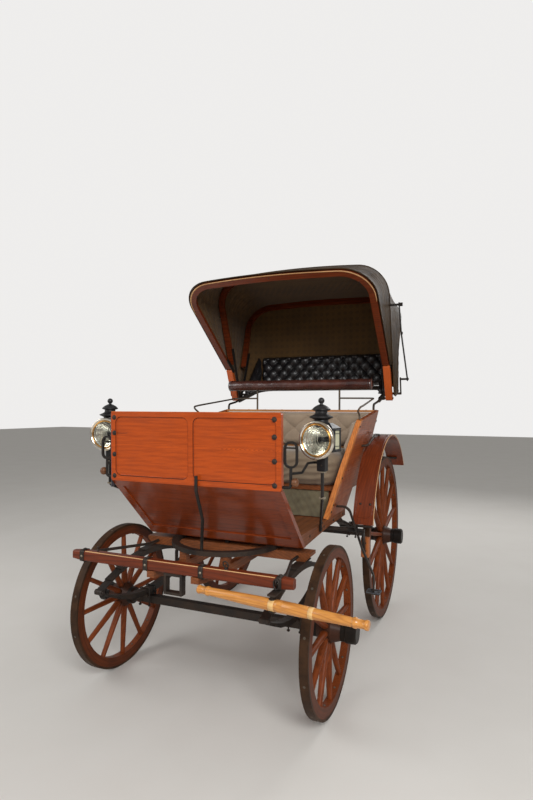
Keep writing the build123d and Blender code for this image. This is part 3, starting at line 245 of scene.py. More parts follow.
def wheel_timber(name, centre, felloe, light, dark):
    """Oiled wheel wood: the grain runs out along the spokes, and round the felloes beyond a given radius.
    The felloes are darker, and the nave is darkest."""
    finish = Finish(name, rough=0.52, coat=0.06, coat_rough=0.25, shine=0.15)
    light, dark = colour(*light), colour(*dark)
    parts, radius, turn = around(finish, centre)
    spoke = finish.combined(finish.times(radius, 0.12), finish.times(turn, 0.5), parts[0])
    rim = finish.combined(finish.times(turn, 0.05), radius, parts[0])
    outer = finish.sums("GREATER_THAN", radius, felloe)
    grain = finish.node("ShaderNodeMix", {0: outer, 4: spoke, 5: rim}, data_type="VECTOR").outputs[1]
    shade, fine, _ = timber(finish, grain, light, dark, 600.0, 90.0)
    shade = finish.over(0.4, finish.patches(14.0, 5.0, 0.7, 0.42, 0.72), shade, soiled(dark, 0.4))
    shade = finish.over(0.5, outer, shade, soiled(dark, 0.4))
    nave = finish.steps(radius, [(0.062, 1.0), (0.076, 0.0)])
    shade = finish.over(0.85, nave, shade, colour(40, 27, 20))
    finish.feed("Base Color", shade)
    finish.bump(fine, 0.0005, 0.5)
    return finish.material


def iron(name, dark, rust, rough=0.46, share=0.5, metal=0.55):
    """Old iron: dark paint worn through to brown in slow patches, with a fine pitted surface."""
    finish = Finish(name, rough=rough, metal=metal)
    patch = finish.patches(9.0, 6.0, 0.65, 0.38, 0.7)
    pits = finish.noise(finish.place, 260.0, 3.0, 0.6)
    finish.feed("Base Color", finish.over(share, patch, colour(*dark), colour(*rust)))
    finish.feed("Roughness", finish.sums("MULTIPLY_ADD", patch, 0.22, rough))
    finish.bump(finish.sums("ADD", pits, finish.times(patch, 2.0)), 0.0004, 0.45)
    return finish.material


def wheel_iron(name, centre, tyre):
    """Wheel irons: brown worn tyre beyond a radius, dark greasy nave bands and cap inside it."""
    finish = Finish(name, rough=0.55, shine=0.15)
    _, radius, _ = around(finish, centre)
    outer = finish.sums("GREATER_THAN", radius, tyre)
    patch = finish.patches(12.0, 6.0, 0.7, 0.35, 0.7)
    nave = finish.over(0.4, patch, colour(20, 17, 15), colour(46, 35, 25))
    rim = finish.blend(patch, colour(42, 27, 17), colour(74, 50, 31))
    finish.feed("Base Color", finish.blend(outer, nave, rim))
    finish.feed("Roughness", finish.sums("MULTIPLY_ADD", outer, 0.14, 0.42))
    finish.bump(finish.noise(finish.place, 220.0, 3.0, 0.6), 0.0005, 0.5)
    return finish.material


def leather(name, light, dark, rough=0.42, coat=0.2, grain=420.0, streaks=None, depth=0.0006, shine=0.5):
    """Leather: fine pebbled grain and slow creases, with streaks weathered along one axis where asked for."""
    finish = Finish(name, rough=rough, coat=coat, coat_rough=0.22, shine=shine)
    light, dark = colour(*light), colour(*dark)
    pebble = finish.node("ShaderNodeTexVoronoi", {"Vector": finish.place, "Scale": grain}, feature="F1")
    shade = finish.blend(finish.patches(7.0, 6.0, 0.6, 0.35, 0.7), dark, light)
    if streaks:
        lines = axes(finish, finish.place, "XYZ", streaks)
        worn = finish.steps(finish.noise(lines, 1.0, 6.0, 0.7), [(0.45, 0.0), (0.68, 1.0)])
        pale = (*(min(1.0, 1.9 * part) for part in light[:3]), 1.0)
        shade = finish.over(0.5, worn, shade, pale)
        finish.feed("Roughness", finish.sums("MULTIPLY_ADD", worn, 0.2, rough))
    finish.feed("Base Color", shade)
    crease = finish.noise(finish.place, 34.0, 5.0, 0.65)
    relief = finish.sums("MULTIPLY_ADD", crease, 3.0, finish.times(pebble.outputs["Distance"], 1.2))
    finish.bump(relief, depth, 0.6)
    return finish.material


def cloth(name, light, dark, threads=900.0, sheen=0.35):
    """Woven cloth: two crossed thread waves, soft dirt patches and a soft sheen."""
    finish = Finish(name, rough=0.9, sheen=sheen)
    finish.shader.inputs["Sheen Roughness"].default_value = 0.45
    light, dark = colour(*light), colour(*dark)
    warp = finish.sums("SINE", finish.times(finish.parts[0], threads * 3))
    up = finish.sums("ADD", finish.parts[1], finish.times(finish.parts[2], 1.3))
    weft = finish.sums("SINE", finish.times(up, threads * 3))
    weave = finish.sums("MULTIPLY_ADD", finish.times(warp, weft), 0.5, 0.5)
    slub = finish.noise(finish.place, 90.0, 4.0, 0.7)
    shade = finish.over(0.6, finish.patches(8.0, 5.0, 0.6, 0.35, 0.7), light, dark)
    shade = finish.over(0.25, weave, shade, dark)
    finish.feed("Base Color", finish.over(0.25, slub, shade, light))
    finish.bump(finish.sums("ADD", weave, slub), 0.0006, 0.5)
    return finish.material


def lining_cloth():
    """Gold-brown hood lining: a plain lattice of small lozenges, a little darker than the ground."""
    finish = Finish("hood_lining", rough=0.85, sheen=0.2)
    across = finish.sums("ADD", finish.parts[0], finish.times(finish.parts[1], 0.6))
    first, second = (
        finish.sums("SINE", finish.times(finish.sums(way, across, finish.parts[2]), 60.0))
        for way in ("ADD", "SUBTRACT")
    )
    lozenge = finish.steps(finish.times(first, second), [(0.25, 0.0), (0.45, 1.0)])
    faded = finish.noise(finish.place, 5.0, 5.0, 0.6)
    ground = finish.blend(faded, colour(112, 80, 34), colour(66, 46, 20))
    finish.feed("Base Color", finish.over(0.35, lozenge, ground, colour(60, 42, 20)))
    finish.bump(finish.noise(finish.place, 700.0, 2.0, 0.5), 0.0004, 0.4)
    return finish.material


def smooth_plate(name, light, dark, rough, metal=1.0):
    """Polished plate with soft tarnish; horn and other smooth plates with metal at 0."""
    finish = Finish(name, rough=rough, metal=metal)
    tarnish = finish.patches(24.0, 5.0, 0.6, 0.45, 0.75)
    finish.feed("Base Color", finish.blend(tarnish, colour(*light), colour(*dark)))
    finish.feed("Roughness", finish.sums("MULTIPLY_ADD", tarnish, 0.18, rough))
    return finish.material


def clear_glass():
    """Clear lamp glass, slightly dusty."""
    finish = Finish("lamp_glass", rough=0.04)
    finish.shader.inputs["Transmission Weight"].default_value = 1.0
    finish.shader.inputs["IOR"].default_value = 1.45
    dust = finish.steps(finish.noise(finish.place, 30.0, 4.0, 0.6), [(0.5, 0.02), (0.8, 0.16)])
    finish.feed("Roughness", dust)
    finish.feed("Base Color", finish.blend(dust, colour(250, 252, 250), colour(225, 225, 215)))
    return finish.material


BOW_LOOK = {"along": "X", "rings": 400.0, "heart": (0.0, 0.8, 2.2), "rough": 0.36}
dash_wood = dash_timber((196, 82, 20), (124, 44, 8))
# The toe board's wood: its own slightly darker tone, deepened with painted shade because the board faces down
toe_shaded_wood = wood("toe_board_shaded_wood", (148, 62, 20), (86, 32, 8), "X", 600.0, heart=(0.0, -0.1, 0.8))
post_wood = wood("post_wood", (212, 130, 62), (150, 78, 32), "Z", heart=(0.1, 0.4, 0.6))
side_wood = wood("side_wood", (164, 82, 34), (104, 46, 16), "Y", 440.0, heart=(0.1, 0.3, 0.9))
floor_wood = wood("floor_wood", (132, 74, 38), (82, 44, 22), "Y", 440.0, rough=0.5, coat=0.15)
bow_wood = wood("bow_wood", (118, 50, 20), (70, 26, 10), **BOW_LOOK)
main_bow_wood = wood("main_bow_wood", (118, 50, 20), (70, 26, 10), foot=(1.832, (206, 96, 40)), **BOW_LOOK)
rail_wood = wood("rail_wood", (198, 138, 84), (146, 92, 52))
bar_wood = wood("bar_wood", (116, 48, 20), (68, 27, 11), heart=(0.0, -0.4, 0.7), rough=0.46, coat=0.15)
tree_wood = wood("swingletree_wood", (220, 152, 74), (162, 96, 40), "X", 600.0, heart=(0.05, -0.5, 0.62))
fender_wood = bent_timber("fender_wood", (1.4, 0.6), (126, 54, 22), (76, 30, 12))
brake_wood = wood("brake_wood", (190, 112, 60), (126, 66, 34), "Z", rough=0.5, coat=0.1)
brown_wood = wood("brown_wood", (120, 78, 50), (70, 42, 26), "X", 480.0, rough=0.45, coat=0.2)
pale_band = wood("pale_band", (236, 196, 132), (200, 150, 90), "X", 600.0, rough=0.4, coat=0.3)
# A lighter copy of the dash's wood: a painted highlight for the dash's top edge
dash_highlight_wood = wood("dash_highlight_wood", (226, 130, 58), (170, 82, 28), "X", 400.0, coat=0.3)
# Pale wood for thin strips on edges: a painted highlight on the fenders and the front bow, and a pale line on
# the splinter bar's top front edge
pale_edge_wood = wood("pale_edge_wood", (226, 182, 130), (186, 136, 88), "X", 400.0, rough=0.6, coat=0.0)
black_iron = iron("black_iron", (44, 41, 39), (92, 70, 54))
worn_iron = iron("worn_iron", (84, 78, 70), (118, 92, 68), rough=0.42, share=0.6)
slat_iron = iron("slat_iron", (36, 34, 33), (74, 58, 46), share=0.35)
lamp_black = iron("lamp_black", (24, 24, 26), (44, 38, 34), rough=0.32, share=0.25, metal=0.0)
pale_iron = iron("pale_iron", (156, 148, 132), (128, 104, 76), rough=0.42)
# Worn iron in a pale bluish grey: the blue is a painted reflection of window light
reflection_tinted_iron = iron("reflection_tinted_iron", (88, 96, 108), (110, 100, 88), rough=0.4, share=0.4, metal=0.6)
# Dark brown: real stains on the dash bolt washers and in its cracks, and painted shade in the dash fields'
# grooves
stain_and_groove_shade = iron("stain_and_groove_shade", (44, 28, 20), (60, 36, 24), rough=0.6, metal=0.0)
nickel = smooth_plate("lamp_nickel", (226, 220, 208), (188, 160, 116), 0.1)
reflector_silver = smooth_plate("reflector_silver", (232, 230, 222), (176, 170, 156), 0.14)
warm_brass = smooth_plate("warm_brass", (220, 168, 98), (156, 108, 58), 0.2)
horn_pane = smooth_plate("horn_pane", (198, 196, 166), (158, 152, 122), 0.3, metal=0.0)
lamp_clear = clear_glass()
taupe_cloth = cloth("taupe_cloth", (168, 148, 126), (118, 100, 82))
cushion_cloth = cloth("cushion_cloth", (140, 122, 100), (92, 78, 60))
fall_cloth = cloth("fall_cloth", (122, 112, 86), (60, 60, 44), threads=500.0, sheen=0.5)
rear_leather = leather("rear_leather", (98, 56, 42), (60, 32, 26), rough=0.4)
squab_leather = leather("squab_leather", (40, 38, 40), (20, 19, 21), rough=0.34, coat=0.35)
roll_leather = leather(
    "roll_leather", (92, 50, 40), (52, 26, 24), rough=0.24, coat=1.0, grain=700.0, depth=0.0001
)
hood_leather = leather(
    "hood_leather", (68, 50, 28), (34, 22, 12), rough=0.6, coat=0.02, streaks=(2.5, 60.0, 60.0), shine=0.2
)
hood_lining = lining_cloth()

node_finishes = {
    dash_wood: ["dash_board"],
    toe_shaded_wood: ["toe_board"],
    post_wood: ["seat_posts"],
    side_wood: ["seat_sides", "lower_sides", "boot"],
    floor_wood: ["floor", "seat_box", "transom", "futchells"],
    bow_wood: ["hood_front_bow", "hood_rear_bow"],
    main_bow_wood: ["hood_main_bow"],
    rail_wood: ["seat_back"],
    bar_wood: ["splinter_bar"],
    tree_wood: ["swingletree"],
    fender_wood: ["fenders"],
    brake_wood: ["brake_blocks"],
    black_iron: [
        "rear_axle", "front_axle", "rear_springs", "front_springs", "lower_turntable", "upper_turntable",
        "side_irons", "brake_irons", "splinter_irons", "rear_seat_rail", "hood_base",
    ],
    worn_iron: ["lazy_back_irons"],
    slat_iron: ["hood_main_slats", "hood_rear_slats", "hood_front_irons", "hood_props", "front_irons"],
    lamp_black: ["lamp_bodies"],
    nickel: ["lamp_bezels"],
    lamp_clear: ["lamp_glasses"],
    taupe_cloth: ["seat_pads"],
    cushion_cloth: ["seat_cushion"],
    fall_cloth: ["seat_fall"],
    roll_leather: ["lazy_back_roll"],
    rear_leather: ["rear_seat_pads"],
    squab_leather: ["hood_squab"],
    hood_leather: ["hood_front_cover", "hood_rear_cover", "hood_back_curtain"],
}
for end, (centre, radius, _) in WHEELS.items():
    felloe, tyre = radius - FELLOE_DEPTH, radius - TYRE_DEPTH
    spokes = wheel_timber(f"{end}_wheel_wood", centre, felloe, (134, 64, 26), (72, 32, 13))
    irons = wheel_iron(f"{end}_wheel_iron", centre, tyre)
    node_finishes[spokes] = [f"{end}_left_wheel", f"{end}_right_wheel"]
    node_finishes[irons] = [f"{end}_left_wheel_irons", f"{end}_right_wheel_irons"]
for finish, names in node_finishes.items():
    for name in names:
        nodes[name].data.materials.clear()
        nodes[name].data.materials.append(finish)


# Surfaces


def unit(vector):
    """The vector, or each of a row of vectors, one metre long."""
    vector = np.asarray(vector, float)
    return vector / np.linalg.norm(vector, axis=-1, keepdims=True)


def grid_faces(rows, columns, round_rows=False, round_columns=False):
    """Quads between neighbouring rows and columns, going round where a side closes on itself."""
    row, column = np.meshgrid(
        np.arange(rows if round_rows else rows - 1),
        np.arange(columns if round_columns else columns - 1),
        indexing="ij",
    )
    row, column = row.ravel(), column.ravel()
    next_row, next_column = (row + 1) % rows, (column + 1) % columns
    corners = [(row, column), (row, next_column), (next_row, next_column), (next_row, column)]
    return np.stack([r * columns + c for r, c in corners], axis=1)


def grid(points, round_rows=False, round_columns=False):
    """A shape, as points and quads, from a grid of points."""
    rows, columns = points.shape[:2]
    return points.reshape(-1, 3), grid_faces(rows, columns, round_rows, round_columns)


def turned(profile, centre, axis, steps=40):
    """Surface of revolution: each (along, radius) pair of the profile goes round the axis at the centre."""
    profile, axis = np.asarray(profile, float), unit(axis)
    side = unit(np.cross(axis, [0.0, 0.0, 1.0] if abs(axis[2]) < 0.9 else [1.0, 0.0, 0.0]))
    turn = np.linspace(0, 2 * np.pi, steps, endpoint=False)[:, None]
    ring = np.cos(turn) * side + np.sin(turn) * np.cross(axis, side)
    along = profile[:, 0, None, None] * axis
    return grid(np.asarray(centre) + along + profile[:, 1, None, None] * ring, round_columns=True)


def smooth_line(points, count):
    """Points spaced along a Catmull-Rom curve through the given ones."""
    points = np.asarray(points, float)
    padded = np.vstack([2 * points[0] - points[1], points, 2 * points[-1] - points[-2]])
    place = np.linspace(0, len(points) - 1, count)
    k = np.minimum(place.astype(int), len(points) - 2)
    t = (place - k)[:, None]
    before, first, second, after = (padded[k + shift] for shift in range(4))
    return 0.5 * (
        2 * first
        + (second - before) * t
        + (2 * before - 5 * first + 4 * second - after) * t**2
        + (3 * first - before - 3 * second + after) * t**3
    )


def tube(path, radius, steps=10, closed=False):
    """A circle carried along a path, square to it; the radius may change along the way. Open ends close on
    a pole."""
    path = np.asarray(path, float)
    forward = np.roll(path, -1, 0) - np.roll(path, 1, 0) if closed else np.gradient(path, axis=0)
    along = unit(forward)
    normal = np.linalg.svd(path - path.mean(0))[2][2]
    side = unit(np.cross(along, normal))
    up = np.cross(side, along)
    turn = np.linspace(0, 2 * np.pi, steps, endpoint=False)[None, :, None]
    size = np.broadcast_to(np.asarray(radius, float), (len(path),))[:, None, None]
    rings = path[:, None] + size * (np.cos(turn) * side[:, None] + np.sin(turn) * up[:, None])
    if not closed:
        first = np.broadcast_to(path[0], (1, steps, 3))
        last = np.broadcast_to(path[-1], (1, steps, 3))
        rings = np.concatenate([first, rings, last])
    return grid(rings, round_rows=closed, round_columns=True)


def strap(path, across, width, thickness):
    """A flat bar carried along a path, its width along the direction across."""
    path, across = np.asarray(path, float), unit(across)
    along = unit(np.gradient(path, axis=0))
    wide = unit(across - np.sum(along * across, axis=1, keepdims=True) * along)
    thick = np.cross(along, wide)
    corners = np.array([[-1, -1], [1, -1], [1, 1], [-1, 1]]) / 2
    rings = path[:, None] + (corners[:, 0] * width)[None, :, None] * wide[:, None]
    rings = rings + (corners[:, 1] * thickness)[None, :, None] * thick[:, None]
    first, last = path[:1, None].repeat(4, 1), path[-1:, None].repeat(4, 1)
    return grid(np.concatenate([first, rings, last]), round_columns=True)


def heads(places, outward, radius, height, sides=10):
    """Domed bolt heads: a flattened half ball on a short rim, set at each place, facing its own way out."""
    places = np.atleast_2d(places).astype(float)
    outward = unit(np.broadcast_to(np.atleast_2d(outward), places.shape))
    rise = np.array([0.0, 0.35, 0.75, 0.95, 1.0]) * height
    girth = np.array([1.0, 1.0, 0.75, 0.35, 0.0]) * radius
    guide = np.where(np.abs(outward[:, 2:3]) < 0.9, [[0.0, 0.0, 1.0]], [[1.0, 0.0, 0.0]])
    side = unit(np.cross(outward, guide))
    other = np.cross(outward, side)
    turn = np.linspace(0, 2 * np.pi, sides, endpoint=False)
    ring = np.cos(turn)[None, :, None] * side[:, None] + np.sin(turn)[None, :, None] * other[:, None]
    points = places[:, None, None] + rise[None, :, None, None] * outward[:, None, None]
    points = points + girth[None, :, None, None] * ring[:, None]
    base = grid_faces(len(rise), sides, round_columns=True)
    count = len(rise) * sides
    faces = (base[None] + np.arange(len(places))[:, None, None] * count).reshape(-1, 4)
    return points.reshape(-1, 3), faces


def mirrored(shape):
    """The same shape on the other side of the carriage."""
    points, faces = shape
    return points * [-1.0, 1.0, 1.0], faces[:, ::-1]


def both(*shapes):
    return [*shapes, *(mirrored(shape) for shape in shapes)]


def piece(name, shapes, finish, body=None, slot=None, smooth=True, outward=True):
    """One mesh from several shapes, its doubles merged and its faces turned outwards."""
    counts = np.cumsum([0] + [len(points) for points, _ in shapes[:-1]])
    points = np.concatenate([points for points, _ in shapes])
    faces = np.concatenate([faces + start for (_, faces), start in zip(shapes, counts)])
    mesh = bpy.data.meshes.new(name)
    mesh.from_pydata(points.tolist(), [], faces.tolist())
    work = bmesh.new()
    work.from_mesh(mesh)
    bmesh.ops.remove_doubles(work, verts=work.verts, dist=1e-6)
    if outward:
        bmesh.ops.recalc_face_normals(work, faces=work.faces)
    work.to_mesh(mesh)
    work.free()
    mesh.shade_smooth() if smooth else mesh.shade_flat()
    mesh.materials.append(finish)
    made = bpy.data.objects.new(name, mesh)
    bpy.context.scene.collection.objects.link(made)
    if body:
        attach(made, body)
    return made


def on_body(name, shapes, finish, slot, **settings):
    """A piece that rides on the carriage body."""
    return piece(name, shapes, finish, "carriage_body", slot, **settings)


def black_irons(name, shapes, body="carriage_body"):
    """Small black ironwork of one body: bolts, clips, rings and screws."""
    piece(name, shapes, black_iron, body, "black_iron")


def modify(made, kind, **settings):
    """Adds a modifier of one kind with its settings."""
    added = made.modifiers.new(kind.lower(), kind)
    for key, value in settings.items():
        setattr(added, key, value)
    return added


# Hood leather and lining


def hoop(plane, foot, corner, size, shape=(15, 13, 41)):
    """A hoop's line in its plane: up one leg, round a corner, over the arched top and down again. The plane
    is (pin, angle, step back), foot and corner are (half width, reach), and size is (radius, rise)."""
    pin, angle, back = plane
    radius, rise = size
    foot, corner = np.asarray(foot), np.asarray(corner)
    leg = unit(corner - foot)
    top = unit(np.array([0.0, corner[1] + rise]) - corner)
    half = 0.5 * math.acos(float(np.clip(-leg @ top, -1, 1)))
    setback = radius / math.tan(half)
    start, stop = corner - leg * setback, corner + top * setback
    centre = corner + unit(top - leg) * radius / math.sin(half)
    first = math.atan2(*(start - centre)[::-1])
    last = math.atan2(*(stop - centre)[::-1])
    turns = np.linspace(first, last, shape[1])[:, None]
    bend = centre + radius * np.hstack([np.cos(turns), np.sin(turns)])
    climb = foot + np.linspace(0, 1, shape[0], endpoint=False)[:, None] * (start - foot)
    across = np.linspace(1, -1, shape[2])[1:-1, None] * stop[0]
    height = corner[1] + rise - (corner[1] + rise - stop[1]) * (across / stop[0]) ** 2
    side = np.vstack([climb, bend])
    line = np.vstack([side, np.hstack([across, height]), side[::-1] * [-1, 1]])
    along = pin + np.outer(line[:, 1], [math.cos(angle), math.sin(angle)])
    along = along + back * np.array([-math.sin(angle), math.cos(angle)])
    return np.column_stack([line[:, 0], along])


def stretched(first, second, rows, sag, inward):
    """Leather between two hoops: straight rules from one to the other, drawn in by a sine sag towards the
    inner point, with low folds along the hoops (sines of the share of the way), deepest at the corners."""
    sag_from, sag_range, corner_half, corner_spread = 1.6, 0.5, 0.62, 0.07
    share = np.linspace(0, 1, rows)[:, None, None]
    points = first[None] * (1 - share) + second[None] * share
    pull = unit(inward - points)
    climb = np.clip((points[..., 2:] - sag_from) / sag_range, 0, 1)
    corner = 0.25 + np.exp(-(((np.abs(points[..., :1]) - corner_half) / corner_spread) ** 2))
    drift = 1.5 * np.sin(points[..., :1] * 5.0) + 1.1 * np.sin(points[..., 2:] * 7.0 + 0.8)
    folds = 0.0016 * np.sin(46 * share + drift) + 0.0008 * np.sin(97 * share - 2 * drift + 1.0)
    return points + pull * (sag * climb + folds * corner) * np.sin(np.pi * share)


def hoop_set(grow):
    """The lines that the leather runs between, from the front bow to the base rail, each grown outwards."""
    main = (HOOD_PIN, MAIN_ANGLE, 0.0)
    rear = (HOOD_PIN, REAR_ANGLE, -0.0135)
    front = (KNEE_PIN, FRONT_ANGLE, 0.004)
    base = (HOOD_PIN, BASE_ANGLE, 0.0)
    foot, side, crown, corner = 0.680 + grow, 0.688 + grow, 0.029 + grow, BOW_CORNER + grow
    knee, low, curtain, high = 0.02, 0.024, 0.06, 0.262  # how far up the legs each sheet starts
    size = (corner, BOW_RISE)
    return {
        "front": hoop(front, (0.672 + grow, knee), (0.687 + grow, FRONT_REACH + crown), size),
        "high": hoop(main, (foot, high), (side, MAIN_REACH + crown), size),
        "main": hoop(main, (foot, low), (side, MAIN_REACH + crown), size),
        "rear": hoop(rear, (foot, low), (side, REAR_REACH + crown), size),
        "curtain": hoop(rear, (foot, curtain), (side, REAR_REACH + crown), size),
        "base": hoop(base, (foot, curtain), (0.681 + grow, BASE_REACH + grow), (corner, 0.006)),
    }


def hood_sheet(name, points, finish, node, outer):
    """One stretched sheet of the hood."""
    made = piece(name, [grid(points)], finish, outward=False)
    facing = made.data.polygons[0].normal
    middle = made.data.polygons[0].center
    away = Vector((middle.x, 0.0, 0.0)) if outer else Vector((-middle.x, 0.0, 0.0))
    if facing.dot(away) < 0:
        made.data.flip_normals()
    modify(made, "SOLIDIFY", thickness=HIDE_THICKNESS, offset=-1.0)
    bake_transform(made)
    if outer:
        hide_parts(node)


OUTSIDE, LINING, SAG, FOLD_ROWS = 0.0052, 0.0012, 0.012, 90
outer_lines, inner_lines = hoop_set(OUTSIDE), hoop_set(LINING)
inner_point = np.array([0.0, 1.35, 1.9])
hood_parts = [  # part, first line, last line, replaced node, bodies, what it rests on
    ("front", "front", "high", "front_cover", ("hood_main", "hood_front"), ("front_bow", "main_bow")),
    ("rear", "main", "rear", "rear_cover", ("hood_rear", "hood_main"), ("main_bow", "rear_bow")),
    ("back", "curtain", "base", "back_curtain", ("carriage_body", "hood_rear"), ("rear_bow", "base")),
]
for part, first, second, node, bodies, bows in hood_parts:
    for lines, finish, outer in ((outer_lines, hood_leather, True), (inner_lines, hood_lining, False)):
        points = stretched(lines[first], lines[second], FOLD_ROWS, SAG, inner_point)
        name = f"hood_{part}_{'leather' if outer else 'lining'}"
        hood_sheet(name, points, finish, f"hood_{node}", outer)


# Stuffed and tufted pieces


def quarter_rise(distance, radius):
    """Rise from 0 to 1 over a radius, as a quarter circle: the root of 1 less the square of what is left."""
    return np.sqrt(1 - (1 - np.clip(distance / radius, 0, 1)) ** 2)


def ripple(points, size, waves, start=0.0):
    """Slow uneven swelling: the mean of crossed sines of the place, each with its own direction and phase."""
    total = np.zeros(points.shape[:-1])
    for number, (x, y, z) in enumerate(waves):
        total = total + np.sin(points @ np.array([x, y, z]) + start + 1.7 * number)
    return size * total / len(waves)


def tufted(corners, depth, cell, share, rim, counts, shift=0.0):
    """Stuffed face over a four-cornered panel, its flat back, and the places of its buttons.
    It rises at the rim as a quarter circle. Inside, the rise follows the mean of the 0.6th powers of two
    crossed slanting sines, so it sinks to a button where both are 0 and folds along the lines between."""
    low_left, low_right, high_right, high_left = np.asarray(corners, float)
    outward = unit(np.cross(low_right - low_left, high_left - low_left))
    width = (np.linalg.norm(low_right - low_left) + np.linalg.norm(high_right - high_left)) / 2
    height = (np.linalg.norm(high_left - low_left) + np.linalg.norm(high_right - low_right)) / 2

    def spot(s, t):
        low = low_left * (1 - s) + low_right * s
        high = high_left * (1 - s) + high_right * s
        return low * (1 - t) + high * t

    def edge(s, t):
        return (quarter_rise(np.minimum(s, 1 - s) * width, rim)
                * quarter_rise(np.minimum(t, 1 - t) * height, rim))

    def swell(s, t):
        across, up = (s - 0.5) * width / cell[0], t * height / cell[1] + shift
        first = np.abs(np.sin(np.pi * (across + up))) ** 0.6
        second = np.abs(np.sin(np.pi * (across - up))) ** 0.6
        return depth * edge(s, t) * (1 - share + share * 0.5 * (first + second))

    s, t = np.meshgrid(np.linspace(0, 1, counts[0]), np.linspace(0, 1, counts[1]))
    s, t = s[..., None], t[..., None]
    base = spot(s, t)
    uneven = ripple(base, 0.04 * depth, [(31, 9, 17), (-19, 23, 41), (47, -29, 13)])[..., None]
    front = base + outward * (swell(s, t) + uneven * edge(s, t))
    first, second = np.meshgrid(np.arange(-60, 61), np.arange(-60, 61))
    across = (first + second).ravel() / 2 * cell[0] / width + 0.5
    up = ((first - second).ravel() / 2 - shift) * cell[1] / height
    inside = (np.minimum(across, 1 - across) * width > rim) & (np.minimum(up, 1 - up) * height > rim)
    s, t = across[inside, None], up[inside, None]
    buttons = spot(s, t) + outward * (swell(s, t) + 0.001)
    return [grid(front), grid(base[:, ::-1])], buttons, outward


def tufted_pad(name, corners, depth, cell, stuff, share, rim, counts, shift=0.0, button=0.008):
    """A buttoned pad on the carriage body, with its covered buttons as a second piece. The stuff is
    (finish, replaced node, slot)."""
    finish, node, slot = stuff
    shapes, buttons, outward = tufted(corners, depth, cell, share, rim, counts, shift)
    made = on_body(name, shapes, finish, slot)
    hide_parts(node)
    if len(buttons):
        covered = heads(buttons, outward, button, button * 0.5, 12)
        on_body(f"{name}_buttons", [covered], finish, slot)


def panel(low, high):
    """Four corners of a panel as wide to both sides, from its low and high (half width, Y, Z)."""
    (low_half, *low_place), (high_half, *high_place) = low, high
    lower = [(-low_half, *low_place), (low_half, *low_place)]
    return [*lower, (high_half, *high_place), (-high_half, *high_place)]


def wings(name, edge, half_width, **settings):
    """The same pad on both side walls: the edge is four (Y, Z) corners, the half width a function of Z."""
    for side, sense in (("left", 1), ("right", -1)):
        corners = [(sense * half_width(z), y, z) for y, z in edge]
        if sense < 0:
            corners = [corners[1], corners[0], corners[3], corners[2]]
        tufted_pad(name.format(side), corners, **settings)


def settled(made):
    """The piece's mesh with its modifiers worked in."""
    graph = bpy.context.evaluated_depsgraph_get()
    mesh = bpy.data.meshes.new_from_object(made.evaluated_get(graph))
    made.modifiers.clear()
    old, made.data = made.data, mesh
    bpy.data.meshes.remove(old)
    mesh.shade_smooth()
    return made


def coordinates(mesh):
    """All the points of a mesh as rows."""
    flat = np.empty(3 * len(mesh.vertices))
    mesh.vertices.foreach_get("co", flat)
    return flat.reshape(-1, 3)


def stuffed(made, voxel, pressure, cap, low, high):
    """Swells a closed shape as a filled cover: it is remeshed, blown up as cloth without weight for 20
    steps, held to a largest move, and kept between two corners."""
    modify(made, "REMESH", mode="VOXEL", voxel_size=voxel, use_smooth_shade=True)
    settled(made)
    before = coordinates(made.data)
    cover = modify(made, "CLOTH")
    plain = {
        "quality": 5, "mass": 0.25, "tension_stiffness": 12, "compression_stiffness": 12,
        "bending_stiffness": 0.4, "use_pressure": True, "uniform_pressure_force": pressure,
    }
    for key, value in plain.items():
        setattr(cover.settings, key, value)
    cover.settings.effector_weights.gravity = 0
    cover.point_cache.frame_start, cover.point_cache.frame_end = 1, 20
    for step in range(1, 21):
        bpy.context.scene.frame_set(step)
    settled(made)
    bpy.context.scene.frame_set(1)
    move = coordinates(made.data) - before
    reach = np.linalg.norm(move, axis=1, keepdims=True)
    points = before + move * np.minimum(1, cap / np.maximum(reach, 1e-9))
    points = np.clip(points, low, high)
    made.data.vertices.foreach_set("co", points.ravel())
    made.data.update()
    modify(made, "SUBSURF", levels=1, render_levels=1)
    return settled(made)


SIDE_FLARE, SIDE_FOOT, SIDE_FOOT_Z, SIDE_PANEL = 0.2285, 0.467, 0.825, 0.0312


def side_x(z):
    """Half width outside the flared sides at a height."""
    return SIDE_FOOT + SIDE_FLARE * (z - SIDE_FOOT_Z)


SEAT_STUFF = (taupe_cloth, "seat_pads", "taupe_cloth")
BACK_PAD = panel((0.489, 1.2262, 1.2155), (0.548, 1.2443, 1.4575))
tufted_pad("seat_back_pad", BACK_PAD, 0.062, (0.20, 0.17), SEAT_STUFF, 0.6, 0.045, (260, 80), shift=0.25)
wings(
    "seat_{}_pad", [(1.162, 1.216), (0.706, 1.216), (0.788, 1.397), (1.181, 1.455)],
    lambda z: side_x(z) - SIDE_PANEL, depth=0.034, cell=(0.17, 0.15), stuff=SEAT_STUFF, share=0.4, rim=0.03,
    counts=(120, 70), shift=0.25,
)


